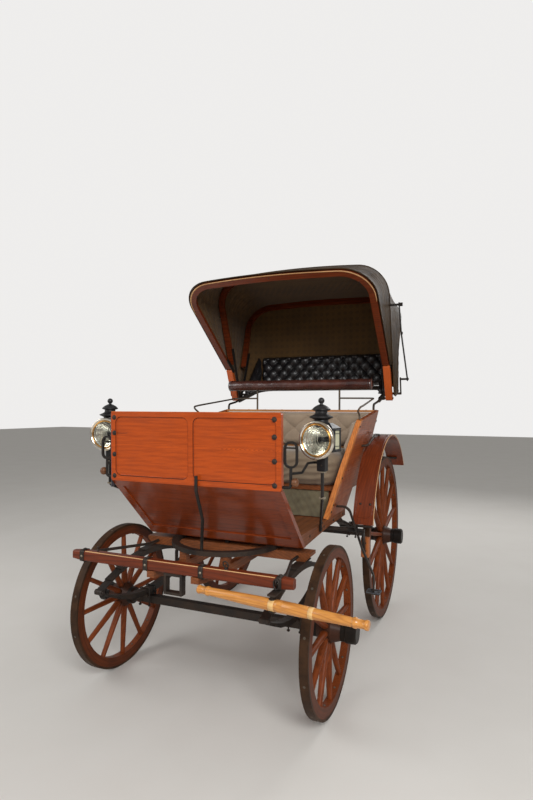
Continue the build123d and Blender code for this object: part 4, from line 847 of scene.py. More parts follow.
def cushion_form(centre, low_half, high_half, depth_half, low, high, rounding, crown, counts=(160, 12, 16)):
    """Closed cushion: a rounded four-sided outline (powers of cosine and sine), widening upwards, with its
    edges rounded as quarter circles and its top crowned by one less the square of the way out."""
    turn = np.linspace(0, 2 * np.pi, counts[0], endpoint=False)
    power = 0.22
    outline = np.stack([np.sign(np.cos(turn)) * np.abs(np.cos(turn)) ** power,
                        np.sign(np.sin(turn)) * np.abs(np.sin(turn)) ** power], axis=-1)
    outline = outline / np.max(np.abs(outline), axis=0)
    bend = np.linspace(0, np.pi / 2, counts[1])
    inner = np.linspace(0.02, 1, counts[2])
    rows = [(low, share, rounding) for share in inner[:-1]]
    rows += [(low + rounding * (1 - np.cos(a)), 1.0, rounding * (1 - np.sin(a))) for a in bend]
    rows += [(high - rounding * (1 - np.sin(a)), 1.0, rounding * (1 - np.cos(a))) for a in bend]
    rows += [(high, share, rounding) for share in inner[::-1][1:]]
    z, share, inset = np.array(rows).T
    climb = (z - low) / (high - low)
    half = np.stack([low_half + (high_half - low_half) * climb - inset, depth_half - inset], axis=-1)
    flat = outline[None] * (half * share[:, None])[:, None] + np.asarray(centre)
    top = climb > 0.5
    lift = np.where(top[:, None], crown * (1 - share[:, None] ** 2), 0.0)
    height = np.broadcast_to((z[:, None] + lift)[..., None], (*flat.shape[:2], 1))
    points = np.concatenate([flat, height], axis=-1)
    first = np.broadcast_to([*centre, low], (1, counts[0], 3))
    last = np.broadcast_to([*centre, high + crown], (1, counts[0], 3))
    return grid(np.concatenate([first, points, last]), round_columns=True)


CUSHION_SIZE = {"low_half": 0.466, "high_half": 0.510, "depth_half": 0.284, "low": 1.003, "high": 1.196}
cushion_shape = cushion_form((0.0, 0.914), rounding=0.045, crown=0.008, **CUSHION_SIZE)
seat_cushion = on_body("seat_cushion_cover", [cushion_shape], cushion_cloth, "taupe_cloth")
least, most = (-0.53, 0.612, 1.0004), (0.53, 1.2085, 1.2152)
stuffed(seat_cushion, voxel=0.009, pressure=4.0, cap=0.014, low=least, high=most)
# Crushed creases along the cushion's front, fading out to its top and towards the back
CREASE_Y, CREASE_Z = 0.70, 1.20
points = coordinates(seat_cushion.data)
x, y, z = points.T
front_share = np.clip((CREASE_Y - y) / 0.05, 0, 1) * np.clip((CREASE_Z - z) / 0.03, 0, 1)
drift = 3.0 * np.sin(x * 9.0 + 1.0) + 1.2 * np.sin(x * 23.0)
crease = np.sin(z * 150 + drift)
points[:, 1] += front_share * (0.0035 * crease + 0.002 * np.sin(x * 31 + z * 40))
seat_cushion.data.vertices.foreach_set("co", points.ravel())
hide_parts("seat_cushion")

# Crushed plush that hangs below the cushion
FALL_HALF, FALL_Y, FALL_LOW, FALL_TOP = 0.431, 0.6305, 0.8105, 0.976
across, up = np.linspace(-FALL_HALF, FALL_HALF, 220), np.linspace(FALL_LOW, FALL_TOP, 60)
s, t = np.meshgrid(across, up, indexing="ij")
waves = [(70, 35, 0), (-95, 60, 0), (33, -110, 0), (150, 90, 0)]
crush = ripple(np.stack([s, t, 0 * s], axis=-1), 0.0045, waves, 0.6)
fall_points = np.stack([s, FALL_Y + crush, t], axis=-1)
seat_fall = on_body("seat_fall_plush", [grid(fall_points)], fall_cloth, "fall_cloth", outward=False)
if seat_fall.data.polygons[0].normal.y > 0:
    seat_fall.data.flip_normals()
modify(seat_fall, "SOLIDIFY", thickness=0.004, offset=-1.0)
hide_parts("seat_fall")

# Roll of the lazy back
ROLL_HALF, ROLL_GIRTH, ROLL_Y, ROLL_Z = 0.570, 0.0395, 1.257, 1.663
ROLL_MOST, SEAM_GIRTH, ROLL_ROWS, SEAM_STEPS = 0.0408, 0.0402, 230, 64
rim = [(0.0, 0.0), (0.0, 0.012), (0.0005, 0.030), (0.004, 0.0372), (0.012, ROLL_GIRTH)]
rim_along = [-ROLL_HALF + step for step, _ in rim]
length = np.linspace(-ROLL_HALF + 0.02, ROLL_HALF - 0.02, ROLL_ROWS)
along = np.array([*rim_along, *length.tolist(), *(-a for a in rim_along[::-1])])
radii = np.array([*(r for _, r in rim), *[ROLL_GIRTH] * ROLL_ROWS, *(r for _, r in rim[::-1])])
turn = np.linspace(0, 2 * np.pi, 72, endpoint=False)
x, a = np.meshgrid(along, turn, indexing="ij")
slack = 0.0008 * np.sin(x * 23 + 2 * a) + 0.0004 * np.sin(x * 61 - 3 * a + 1.0)
slack = slack + 0.0002 * np.sin(x * 121 + a + 2.0)
pleats = 0.0008 * np.cos(18 * a) * np.exp(-((ROLL_HALF - np.abs(x)) / 0.02))
size = np.minimum(radii[:, None] + (slack + pleats) * (radii[:, None] > 0.02), ROLL_MOST)
roll_points = np.stack([x, ROLL_Y + size * np.cos(a), ROLL_Z + size * np.sin(a)], axis=-1)
roll_shape = grid(roll_points, round_columns=True)
roll = on_body("lazy_back_roll_cover", [roll_shape], roll_leather, "brown_leather")
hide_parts("lazy_back_roll")
turn = np.linspace(0, 2 * np.pi, SEAM_STEPS, endpoint=False)
seam_y, seam_z = ROLL_Y + SEAM_GIRTH * np.cos(turn), ROLL_Z + SEAM_GIRTH * np.sin(turn)
seams = [
    tube(np.column_stack([np.full(SEAM_STEPS, x), seam_y, seam_z]), 0.0014, 8, True)
    for x in (-0.548, 0.548, -0.5665, 0.5665)
]
on_body("lazy_back_roll_seams", seams, squab_leather, "brown_leather")

# Squab round the hood's inside
SQUAB_STUFF = (squab_leather, "hood_squab", "black_leather")
SQUAB = panel((0.549, 1.8825, 1.6818), (0.549, 1.8825, 1.9455))
tufted_pad("squab_back", SQUAB, 0.06, (0.10, 0.11), SQUAB_STUFF, 0.55, 0.03, (300, 80), button=0.006)
wings(
    "squab_{}_wing", [(1.8525, 1.6675), (1.566, 1.5987), (1.566, 1.638), (1.8525, 1.9453)],
    lambda z: 0.585, depth=0.04, cell=(0.10, 0.09), stuff=SQUAB_STUFF, share=0.5, rim=0.018,
    counts=(110, 60), button=0.006,
)

# Rear seat
REAR_STUFF = (rear_leather, "rear_seat_pads", "brown_leather")
REAR = panel((0.469, 1.4605, 1.1425), (0.469, 1.8495, 1.1425))
tufted_pad(
    "rear_seat_cushion", REAR, 0.076, (0.19, 0.16), REAR_STUFF, 0.3, 0.04, (230, 100), shift=0.5, button=0.009
)
REAR_BACK = panel((0.399, 1.8655, 1.2963), (0.399, 1.8655, 1.3998))
tufted_pad("rear_seat_back_pad", REAR_BACK, 0.0355, (0.16, 0.208), REAR_STUFF, 0.3, 0.018, (230, 40))


# Lamps


def ring_path(centre, normal, radius, other=None, count=48, up=(0.0, 0.0, 1.0)):
    """A closed circle or oval round a centre, square to a direction."""
    normal = unit(normal)
    side = unit(np.cross(np.asarray(up, float), normal))
    rise = np.cross(normal, side)
    turn = np.linspace(0, 2 * np.pi, count, endpoint=False)[:, None]
    return np.asarray(centre) + radius * np.cos(turn) * side + (other or radius) * np.sin(turn) * rise


def loop_path(centre, along, across, half_along, half_across, corner, count=9):
    """A closed rectangle with round corners in the plane of two directions."""
    turn = np.linspace(0, np.pi / 2, count)
    quarter = np.column_stack([np.cos(turn), np.sin(turn)]) * corner
    inner = np.array([half_along - corner, half_across - corner])
    corners = []
    for quarters in range(4):
        angle = quarters * np.pi / 2
        spin = np.array([[np.cos(angle), np.sin(angle)], [-np.sin(angle), np.cos(angle)]])
        reach = inner * np.array([[1, 1], [-1, 1], [-1, -1], [1, -1]][quarters])
        corners.append(quarter @ spin + reach)
    flat = np.vstack(corners)
    return np.asarray(centre) + flat[:, :1] * unit(along) + flat[:, 1:] * unit(across)


def soft_block(centre, axes_of, half, power=0.25, counts=(40, 20)):
    """A block with rounded edges: powers of cosine and sine of two angles along three directions."""
    turn = np.linspace(0, 2 * np.pi, counts[0], endpoint=False)[None, :]
    tilt = np.linspace(-np.pi / 2, np.pi / 2, counts[1])[:, None]

    def soft(value):
        return np.sign(value) * np.abs(value) ** power

    x = soft(np.cos(tilt)) * soft(np.cos(turn))
    y = soft(np.cos(tilt)) * soft(np.sin(turn))
    z = soft(np.sin(tilt)) * np.ones_like(turn)
    first, second, third = (unit(a) for a in axes_of)
    points = np.asarray(centre) + x[..., None] * half[0] * first + y[..., None] * half[1] * second
    return grid(points + z[..., None] * half[2] * third, round_columns=True)


LAMP_SIDE = np.array([math.cos(math.radians(10)), -math.sin(math.radians(10)), 0.0])
X, Y, UP = np.array([1.0, 0.0, 0.0]), np.array([0.0, 1.0, 0.0]), np.array([0.0, 0.0, 1.0])


def lamp_point(depth, side=0.0, height=0.0):
    return LAMP - LAMP_OUT * depth + LAMP_SIDE * side + UP * height


def lamp_turned(line, steps):
    """A turned part of both lamps, about the line that each lamp faces along."""
    return both(turned(line, LAMP, -LAMP_OUT, steps))


bezel_line = [
    (0.008, 0.0719), (0.002, 0.0722), (-0.002, 0.0745), (-0.0045, 0.0775), (-0.0072, 0.0805),
    (-0.0085, 0.0838), (-0.0083, 0.0868), (-0.0062, 0.0893), (-0.0030, 0.0910), (0.0010, 0.0919),
    (0.0045, 0.0920), (0.008, 0.0914), (0.008, 0.0719),
]
bezels = on_body("lamp_rings", lamp_turned(bezel_line, 96), nickel, "nickel")
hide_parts("lamp_bezels")
brass_line = [
    (-0.0022, 0.0768), (-0.0052, 0.0764), (-0.0072, 0.0742), (-0.0070, 0.0712), (-0.0048, 0.0690),
    (-0.0022, 0.0688), (-0.0022, 0.0768),
]
on_body("lamp_inner_rings", lamp_turned(brass_line, 96), warm_brass, "nickel")
# The reflector narrows evenly from its lip, with fine turned rings
BOWL_START, BOWL_END, BOWL_LIP, BOWL_SLOPE, RING_STEP = 0.0136, 0.0935, 0.0716, 0.053 / 0.08, 0.011
depths = np.linspace(BOWL_START, BOWL_END, 70)
past = depths - BOWL_START
bowl = BOWL_LIP - BOWL_SLOPE * past + 0.0005 * np.sin(past * 2 * np.pi / RING_STEP)
bowl_line = [(0.0085, 0.0742), (0.0132, 0.0738), *zip(depths, bowl), (0.1150, 0.0040), (0.1160, 0.0)]
on_body("lamp_reflectors", lamp_turned(bowl_line, 80), reflector_silver, "nickel", outward=False)
burner_line = [
    (0.1140, 0.0), (0.1140, 0.0060), (0.0820, 0.0062), (0.0800, 0.0100), (0.0720, 0.0105), (0.0690, 0.0070),
    (0.0640, 0.0030), (0.0630, 0.0),
]
on_body("lamp_burners", lamp_turned(burner_line, 32), lamp_black, "black_metal")
WINDOW_DEPTH, CHIMNEY_DEPTH, SHOULDER = 0.089, 0.0528, 0.084
windows, window_frames = [], []
for sense in (1, -1):
    centre = lamp_point(WINDOW_DEPTH, sense * 0.0640)
    windows.append(soft_block(centre, (LAMP_OUT, UP, LAMP_SIDE * sense), (0.0245, 0.0432, 0.0012), 0.12))
    edge = lamp_point(WINDOW_DEPTH, sense * 0.0664)
    window_frames.append(tube(loop_path(edge, LAMP_OUT, UP, 0.0275, 0.0462, 0.006), 0.0026, 8, True))
    for tall in (-0.030, 0.030):
        bar = [lamp_point(depth, sense * 0.0668, tall) for depth in (0.0615, 0.1175)]
        window_frames.append(strap(bar, UP, 0.0022, 0.0018))
rear_frame = tube(loop_path(lamp_point(0.1304), LAMP_SIDE, UP, 0.045, 0.040, 0.006), 0.0026, 8, True)
on_body("lamp_windows", both(*windows), horn_pane, "lamp_glass")
on_body("lamp_window_frames", both(*window_frames, rear_frame), lamp_black, "black_metal")
rim_beads = [
    tube(ring_path(lamp_point(CHIMNEY_DEPTH, 0.0, height), UP, radius, up=LAMP_SIDE), 0.0022, 8, True)
    for height, radius in ((SHOULDER + 0.0245, 0.0548), (SHOULDER + 0.0605, 0.0418), (0.0815, 0.0362))
]
drum_line = [(0.0335, 0.0766), (0.0352, 0.0785), (0.0372, 0.0785), (0.0390, 0.0766), (0.0335, 0.0766)]
drum_bead = turned(drum_line, LAMP, -LAMP_OUT, 72)
on_body("lamp_beads", both(*rim_beads, drum_bead), lamp_black, "black_metal")
stem_x, stem_y = lamp_point(0.066)[:2]
stem_axes = (LAMP_SIDE, LAMP_OUT, UP)
collars = [
    soft_block((stem_x, stem_y, 1.1835), stem_axes, (0.0165, 0.0120, 0.0042), 0.2),
    soft_block((stem_x, stem_y, 1.0600), stem_axes, (0.0150, 0.0100, 0.0048), 0.2),
]
on_body("lamp_stem_collars", both(*collars), pale_iron, "worn_iron")
stem_nuts = heads([(stem_x, stem_y - 0.0168, z) for z in (1.215, 1.247)], -Y, 0.0055, 0.004, 6)
foot_bolts = heads([(0.4805, 0.33, 0.812), (0.4805, 0.336, 0.842)], X, 0.0075, 0.005)
black_irons("lamp_stem_bolts", both(stem_nuts, foot_bolts))
knob_line = [
    (-0.016, 0.0), (-0.0155, 0.008), (-0.013, 0.0150), (-0.007, 0.0195), (0.0, 0.0205), (0.007, 0.0195),
    (0.013, 0.0150), (0.0155, 0.008), (0.016, 0.0),
]
knobs = both(turned(knob_line, (0.541, -0.277, 1.147), X, 32))
on_body("hand_loop_knobs", knobs, brown_wood, "varnished_wood")

# Dash: bolts, the iron strip on its right end, fine cracks by two bolts, the fields' beads with painted shade
# lines in their grooves, and a painted highlight along the top edge
DASH_RISE = unit([0.0, -0.009, 0.360])
DASH_FACE = unit([0.0, -0.360, -0.009])
DASH_EDGE, FRAME_INSIDE, ON_FRAME, IN_FIELD = 0.4785, 0.4550, 0.0003, -0.0057
FIELD_X, FIELD_SIZE, FIELD_FLOOR = 0.2335, np.array([0.2160, 0.1495, 0.0290]), -0.0058


def dash_point(x, share, proud=0.0):
    """A place on the dash's face, by the share of its height from the top."""
    return np.array([x, DASH_Y, DASH_LOW]) + DASH_RISE * DASH_HEIGHT * (1 - share) + DASH_FACE * proud


dash_bolts = [dash_point(x, share) for x in (0.446, -0.460) for share in (0.085, 0.31, 0.62, 0.93)]
black_irons("dash_bolts", [heads(dash_bolts, DASH_FACE, 0.0095, 0.0055, 14)])
washer_line = [(0.0, 0.0130), (0.0010, 0.0126), (0.0012, 0.0090)]
washers = [turned(washer_line, place, DASH_FACE, 20) for place in dash_bolts]
on_body("dash_bolt_washers", washers, stain_and_groove_shade, "black_iron")
# The strip's bluish grey is a painted reflection of window light on worn iron
strip_line = [dash_point(-0.4812, share, -0.012) for share in (0.02, 0.5, 1.10)]
on_body("dash_end_strip", [strap(strip_line, Y, 0.022, 0.003)], reflection_tinted_iron, "worn_iron", smooth=False)
crack_runs = [
    (DASH_EDGE, FRAME_INSIDE, 0.62, ON_FRAME), (0.4530, 0.4100, 0.62, IN_FIELD),
    (-DASH_EDGE, -FRAME_INSIDE, 0.31, ON_FRAME), (-0.4530, -0.3800, 0.31, IN_FIELD),
]
cracks = []
for first, last, share, proud in crack_runs:
    bends = ((first, 0.0), ((first + last) / 2, 0.004), (last, -0.003))
    crack_line = smooth_line([dash_point(x, share + drop, proud) for x, drop in bends], 12)
    cracks.append(strap(crack_line, DASH_RISE, 0.0013, 0.0006))
on_body("dash_cracks", cracks, stain_and_groove_shade, "varnished_wood")
# The beads are the dash's own wood; the lines are dark tubes at the foot of each field's groove, painted
# shade
for name, grow, girth, finish in (("beads", 0.0, 0.0022, dash_wood), ("lines", 0.0033, 0.0016, stain_and_groove_shade)):
    rings = [
        tube(loop_path(dash_point(x, 0.5, FIELD_FLOOR), X, DASH_RISE, *(FIELD_SIZE + grow)), girth, 8, True)
        for x in (-FIELD_X, FIELD_X)
    ]
    on_body(f"dash_field_{name}", rings, finish, "varnished_wood")
# A painted highlight along the dash's top edge: a thin tube of lighter wood
top_edge = [dash_point(x, -0.0008, -0.0012) for x in np.linspace(-DASH_EDGE, DASH_EDGE, 30)]
on_body("dash_top_edge", [tube(top_edge, 0.0014, 8)], dash_highlight_wood, "varnished_wood")

# Swingletree: a turned bar with ring grooves and end knobs
TREE = np.array([0.540, -0.500, 0.668])
TREE_ALONG = np.array([math.cos(math.radians(-7)), math.sin(math.radians(-7)), 0.0])
tree_line = [
    (-0.4000, 0.0), (-0.4000, 0.0150), (-0.3985, 0.0180), (-0.3940, 0.0192), (-0.3880, 0.0190),
    (-0.3845, 0.0172), (-0.3830, 0.0162), (-0.3700, 0.0168), (-0.3540, 0.0170), (-0.3520, 0.0200),
    (-0.3490, 0.0206), (-0.3410, 0.0206), (-0.3385, 0.0196), (-0.3370, 0.0178), (-0.3300, 0.0182),
    (-0.2500, 0.0200), (-0.1700, 0.0226), (-0.1000, 0.0244), (-0.0450, 0.0252), (-0.0320, 0.0253),
    (-0.0305, 0.0243), (-0.0290, 0.0256), (-0.0010, 0.0256), (0.0005, 0.0243), (0.0020, 0.0255),
    (0.0290, 0.0256), (0.0300, 0.0246), (0.0315, 0.0258), (0.0345, 0.0258), (0.0360, 0.0246),
    (0.0375, 0.0254), (0.1000, 0.0248), (0.1490, 0.0234), (0.1500, 0.0226), (0.1515, 0.0236),
    (0.1750, 0.0230), (0.1765, 0.0220), (0.1780, 0.0226), (0.2500, 0.0200), (0.3300, 0.0182),
    (0.3370, 0.0178), (0.3385, 0.0200), (0.3410, 0.0210), (0.3490, 0.0210), (0.3520, 0.0203),
    (0.3540, 0.0173), (0.3700, 0.0172), (0.3830, 0.0166), (0.3845, 0.0178), (0.3880, 0.0198),
    (0.3940, 0.0200), (0.3985, 0.0188), (0.4000, 0.0155), (0.4000, 0.0),
]
tree_shape = turned(tree_line, TREE, TREE_ALONG, 48)
tree = piece("swingletree_turned", [tree_shape], tree_wood, "swingletree", "pale_wood")
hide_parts("swingletree")
band_lines = [
    [(-0.0280, 0.0250), (-0.0274, 0.02585), (-0.0021, 0.02585), (-0.0015, 0.0250)],
    [(0.1522, 0.0225), (0.1528, 0.0238), (0.1738, 0.0234), (0.1744, 0.0222)],
]
bands = [turned(line, TREE, TREE_ALONG, 48) for line in band_lines]
piece("swingletree_pale_bands", bands, pale_band, "swingletree", "pale_wood")
washer_line = [(0.0262, 0.0), (0.0262, 0.0150), (0.0254, 0.0165), (0.0230, 0.0165)]
low_line = [(-along, radius) for along, radius in washer_line[::-1]]
washers = [turned(line, TREE - 0.016 * TREE_ALONG, UP, 24) for line in (washer_line, low_line)]
black_irons("swingletree_washers", washers, "swingletree")

# Splinter bar, carriage irons and their fastenings


def band(path, across, width, thickness):
    """A flat iron bent into a closed loop, its width along the direction across."""
    path, across = np.asarray(path, float), unit(across)
    along = unit(np.roll(path, -1, 0) - np.roll(path, 1, 0))
    thick = np.cross(along, across)
    corners = np.array([[-1, -1], [1, -1], [1, 1], [-1, 1]]) / 2
    rings = path[:, None] + (corners[:, 0] * width)[None, :, None] * across[None, None]
    rings = rings + (corners[:, 1] * thickness)[None, :, None] * thick[:, None]
    return grid(rings, round_rows=True, round_columns=True)


def laid(lines):
    """A closed bar through parallel lines that are its corners, its ends drawn to a point."""
    rings = np.stack(lines, axis=1)
    first, last = (rings[end].mean(0)[None, None].repeat(rings.shape[1], 1) for end in (0, -1))
    return grid(np.concatenate([first, rings, last]), round_columns=True)


BAR = np.array([0.0, -0.425, 0.740])
CLIP_PLACES = (-0.531, -0.150, 0.150, 0.531)


def bar_point(x, forward=0.0, up=0.0):
    return BAR + X * x - Y * forward + UP * up


clips = [
    band(loop_path(bar_point(x), Y, UP, 0.0237, 0.0277, 0.0105), X, 0.024, 0.0036) for x in CLIP_PLACES
]
black_irons("splinter_bar_clips", clips, "forecarriage")
bar_heads = heads([bar_point(x, 0.0, 0.0293) for x in CLIP_PLACES], UP, 0.0085, 0.006, 8)
low_nuts = heads([bar_point(x, 0.0, -0.0293) for x in CLIP_PLACES], -UP, 0.009, 0.009, 6)
plain_nuts = heads([bar_point(x, 0.002, -0.0258) for x in (-0.33, 0.06, 0.33)], -UP, 0.0085, 0.008, 6)
black_irons("splinter_bar_bolts", [bar_heads, low_nuts, plain_nuts], "forecarriage")
# Pale pin heads on the bar's front face: painted highlights
front_heads = heads([bar_point(x, 0.0253) for x in CLIP_PLACES], -Y, 0.0058, 0.0035)
piece("splinter_bar_highlight_pins", [front_heads], pale_iron, "forecarriage", "worn_iron")
pin_line = [
    (0.0, 0.0062), (0.004, 0.0062), (0.0045, 0.0036), (0.016, 0.0036), (0.018, 0.0055), (0.022, 0.0055),
    (0.024, 0.0030), (0.0245, 0.0),
]
eye_line = [(0.0, 0.0100), (0.003, 0.0100), (0.0045, 0.0050), (0.008, 0.0045)]
EYE_X, LINK_X = 0.272, 0.524
rein_pin = turned(pin_line, bar_point(-0.449, 0.0, 0.0258), UP, 20)
eye_base = turned(eye_line, bar_point(EYE_X, 0.004, 0.0258), UP, 20)
eye = tube(ring_path(bar_point(EYE_X, 0.004, 0.0388), Y, 0.0068), 0.0026, 8, True)
ring_line = ring_path(bar_point(EYE_X, 0.0105, 0.0480), [0.25, 1.0, 0.3], 0.0150)
hanging_ring = tube(ring_line, 0.0031, 10, True)
black_irons("splinter_bar_rings", [rein_pin, eye_base, eye, hanging_ring], "forecarriage")
link_line = ring_path(bar_point(LINK_X, 0.0330, -0.001), [0.35, 1.0, 0.0], 0.0145, 0.0220)
staple_line = [(0.020, 0.016), (0.034, 0.018), (0.041, 0.008), (0.034, -0.002), (0.020, -0.004)]
staple = tube(smooth_line([bar_point(LINK_X, forward, up) for forward, up in staple_line], 24), 0.0034, 8)
black_irons("swingletree_link", [tube(link_line, 0.0040, 10, True), staple], "forecarriage")
# A pale line of lighter wood along the bar's top front edge
pale_line = [
    bar_point(x, 0.0193, 0.0233 + 0.0004 * math.sin(9 * x)) for x in np.linspace(-0.512, 0.512, 40)
]
worn = tube(smooth_line(pale_line, 120), 0.0021, 8)
piece("splinter_bar_pale_edge", [worn], pale_edge_wood, "forecarriage", "oiled_wood")


def u_bolts(x, y, low, high, half, radius=0.0042, apart=0.030):
    """Two round irons over a spring's middle with nuts below the axle, on both sides of the carriage."""
    made = []
    for shift in (-apart, apart):
        turn = np.linspace(0, np.pi / 2, 6)
        bend = np.column_stack([1 - np.cos(turn), np.sin(turn)]) * 0.008
        left = np.column_stack([x - half + bend[:, 0], np.full(6, y + shift), high - 0.008 + bend[:, 1]])
        right = left[::-1] * [-1, 1, 1] + [2 * x, 0, 0]
        line = np.vstack([[x - half, y + shift, low], left, right, [x + half, y + shift, low]])
        made.append(tube(line, radius, 8))
        made.append(heads([line[0] + 0.008 * UP, line[-1] + 0.008 * UP], -UP, 0.0088, 0.0100, 6))
    return both(*made)


def spring_bolts(x, centre_y, eye_z, half):
    """Round-headed bolts through the eyes, on both faces of each spring."""
    places = [(x + side * 0.0218, centre_y + end * half, eye_z) for side in (1, -1) for end in (1, -1)]
    outward = [(side, 0.0, 0.0) for side in (1, -1) for _ in (1, -1)]
    return both(heads(places, outward, 0.0085, 0.006))


front_bolts = u_bolts(0.450, 0.0, 0.3640, 0.4645, 0.0313) + spring_bolts(0.450, 0.0, 0.558, 0.410)
black_irons("front_spring_bolts", front_bolts, "forecarriage")
rear_bolts = u_bolts(0.400, 1.370, 0.5320, 0.6325, 0.0313) + spring_bolts(0.400, 1.370, 0.772, 0.430)
black_irons("rear_spring_bolts", rear_bolts)

# Wheels: tyre bolts through the felloes, between the spokes
for end, (centre, radius, spoke_count) in WHEELS.items():
    turn = (np.arange(spoke_count) + 0.5) * 2 * np.pi / spoke_count
    rim = np.column_stack([0 * turn, np.sin(turn), np.cos(turn)])
    for side, sense in (("left", 1), ("right", -1)):
        hub = np.array([sense * HALF_TRACK, *centre])
        shapes = [
            heads(hub + rim * (radius - 0.0002), rim, 0.0062, 0.0008, 10),
            heads(hub + rim * (radius - FELLOE_DEPTH + 0.0005), -rim, 0.0062, 0.0050, 6),
        ]
        piece(f"{end}_{side}_tyre_bolts", shapes, worn_iron, f"{end}_{side}_wheel", "worn_iron")

# Fenders: raised beads, bolts and a painted highlight along the outer edge
FENDER_Y, FENDER_Z, FENDER_OUT = 1.4, 0.6, 0.696
BEAD_X, BEAD_STEP, EDGE_X = 0.6765, 0.0145, 0.6890


def fender_point(x, angle, radius=FENDER_OUT):
    """Places on the fender's circle, the angle counted up from the rear."""
    x, angle = np.broadcast_arrays(x, angle)
    return np.stack([x, FENDER_Y + radius * np.cos(angle), FENDER_Z + radius * np.sin(angle)], axis=-1)


def fender_inside(angle):
    """Where the fender's inner edge meets the flared side."""
    return np.maximum(0.560, side_x(FENDER_Z + FENDER_OUT * np.sin(angle)) + 0.005)


arc = np.radians(np.linspace(161, 42, 120))
turn = np.linspace(np.pi, 0, 25)[1:-1]
low_inside = fender_inside(arc[0]) + BEAD_STEP
bend_x = (BEAD_X + low_inside) / 2 + (BEAD_X - low_inside) / 2 * np.cos(turn)
bead = np.vstack([
    fender_point(fender_inside(arc) + BEAD_STEP, arc)[::-1],
    fender_point(bend_x, arc[0] + 0.030 * np.sin(turn)),
    fender_point(BEAD_X, arc),
])
on_body("fender_beads", both(tube(bead, 0.0022, 8)), fender_wood, "varnished_wood")
bolt_x = [0.600, 0.6615, 0.612, 0.664, 0.612, 0.664]
bolt_turns = np.radians([155.6, 155.6, 97.0, 97.0, 46.0, 46.0])
bolt_places = fender_point(bolt_x, bolt_turns)
outward = bolt_places - fender_point(bolt_x, bolt_turns, 0.6)
black_irons("fender_bolts", both(heads(bolt_places, outward, 0.0080, 0.0045)))
# A pale tube along each fender's outer edge: a painted highlight
edge_arc = np.radians(np.linspace(166, 38.2, 140))
edge_highlight = tube(fender_point(EDGE_X, edge_arc, FENDER_OUT - 0.0012), 0.0021, 8)
on_body("fender_edge_highlights", both(edge_highlight), pale_edge_wood, "varnished_wood")

# Steps: a raised rim round each tread plate, ribs and rivets
STEP_X, STEP_Y, STEP_TOP = 0.700, 0.690, 0.375
rim_line = loop_path((STEP_X, STEP_Y, STEP_TOP + 0.0015), X, Y, 0.0400, 0.0360, 0.006)
rivet_places = [
    (STEP_X + x, STEP_Y + y, STEP_TOP - 0.0001) for x in (-0.028, 0.028) for y in (-0.024, 0.024)
]
rib_lines = [
    [(STEP_X + x, STEP_Y + y, STEP_TOP + 0.0004) for x in (-0.024, 0.024)] for y in (-0.008, 0.0, 0.008)
]
ribs = [strap(line, Y, 0.0034, 0.0020) for line in rib_lines]
step_parts = both(band(rim_line, UP, 0.006, 0.0028), heads(rivet_places, UP, 0.0050, 0.0022), *ribs)
# The rims' bluish grey is a painted reflection of window light on worn iron
on_body("step_plate_rims", step_parts, reflection_tinted_iron, "worn_iron")

# Bolts of the body's posts, sills, boards, brake and back rail
SIDE_OUT = unit([1.0, 0.0, -SIDE_FLARE])


def side_places(pairs):
    """Places on the flared side's outer face, from pairs of Y and Z."""
    return [(side_x(z) - 0.0002, y, z) for y, z in pairs]


post_places = side_places([(0.5395, 0.865), (0.556, 0.905), (0.620, 1.060), (0.786, 1.370)])
board_places = side_places([(y, 1.096) for y in (0.74, 1.00, 1.26, 1.52, 1.80)])
sill_places = [(0.4668, y, 0.803) for y in (0.16, 0.42, 0.62, 0.84)]
body_bolts = both(
    heads(post_places, SIDE_OUT, 0.0075, 0.0045),
    heads(board_places, SIDE_OUT, 0.0048, 0.0025),
    heads(sill_places, X, 0.0080, 0.0045),
)
black_irons("body_bolts", body_bolts)
arm_bolts = both(heads([(0.6378, 0.741, 0.650), (0.6378, 0.741, 0.602)], X, 0.0062, 0.0045))
black_irons("brake_arm_bolts", arm_bolts)
rail_heads = both(heads([(x, 1.2470, 1.4768) for x in (0.12, 0.26, 0.40, 0.53)], UP, 0.0050, 0.0020))
black_irons("back_rail_screws", rail_heads)

# Hood: welts along the leather's edges, a painted highlight on the front bow's top edge, and the bow's screws
welts = {
    "front": ("front", 0.0040), "main": ("rear", 0.0034),
    "curtain": ("back", 0.0034), "base": ("back", 0.0040),
}
for line, (part, radius) in welts.items():
    welt = piece(f"hood_{line}_welt", [tube(outer_lines[line], radius, 8)], hood_leather)
    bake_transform(welt)


HIGHLIGHT_ABOVE = 2.17


def bow_line(back, half_width, reach):
    """A line along the front bow, by its step from the bow's plane, half width and reach past the corner."""
    plane, corner = (KNEE_PIN, FRONT_ANGLE, back), (half_width, FRONT_REACH + reach)
    line = hoop(plane, (0.668, 0.02), corner, (BOW_CORNER, BOW_RISE))
    return line[line[:, 2] > HIGHLIGHT_ABOVE]


# A pale strip on the front bow's top edge: a painted highlight
worn = laid([
    bow_line(0.0115, 0.6832, 0.0222), bow_line(0.0129, 0.6832, 0.0222),
    bow_line(0.0129, 0.6765, 0.0155), bow_line(0.0115, 0.6765, 0.0155),
])
piece("front_bow_highlight_edge", [worn], pale_edge_wood, "hood_front", "varnished_wood")
FRONT_OUT = np.array([0.0, -math.sin(FRONT_ANGLE), math.cos(FRONT_ANGLE)])
FRONT_ALONG = np.array([0.0, math.cos(FRONT_ANGLE), math.sin(FRONT_ANGLE)])
screw_places = [(0.0, FRONT_REACH + 0.020), (0.592, 0.810), (-0.592, 0.810), (0.654, 0.42), (-0.654, 0.42)]
bow_screws = [
    np.array([x, *KNEE_PIN]) + FRONT_ALONG * reach + FRONT_OUT * 0.0123 for x, reach in screw_places
]
black_irons("front_bow_screws", [heads(bow_screws, FRONT_OUT, 0.0050, 0.0022)], "hood_front")


# Camera, light and floor

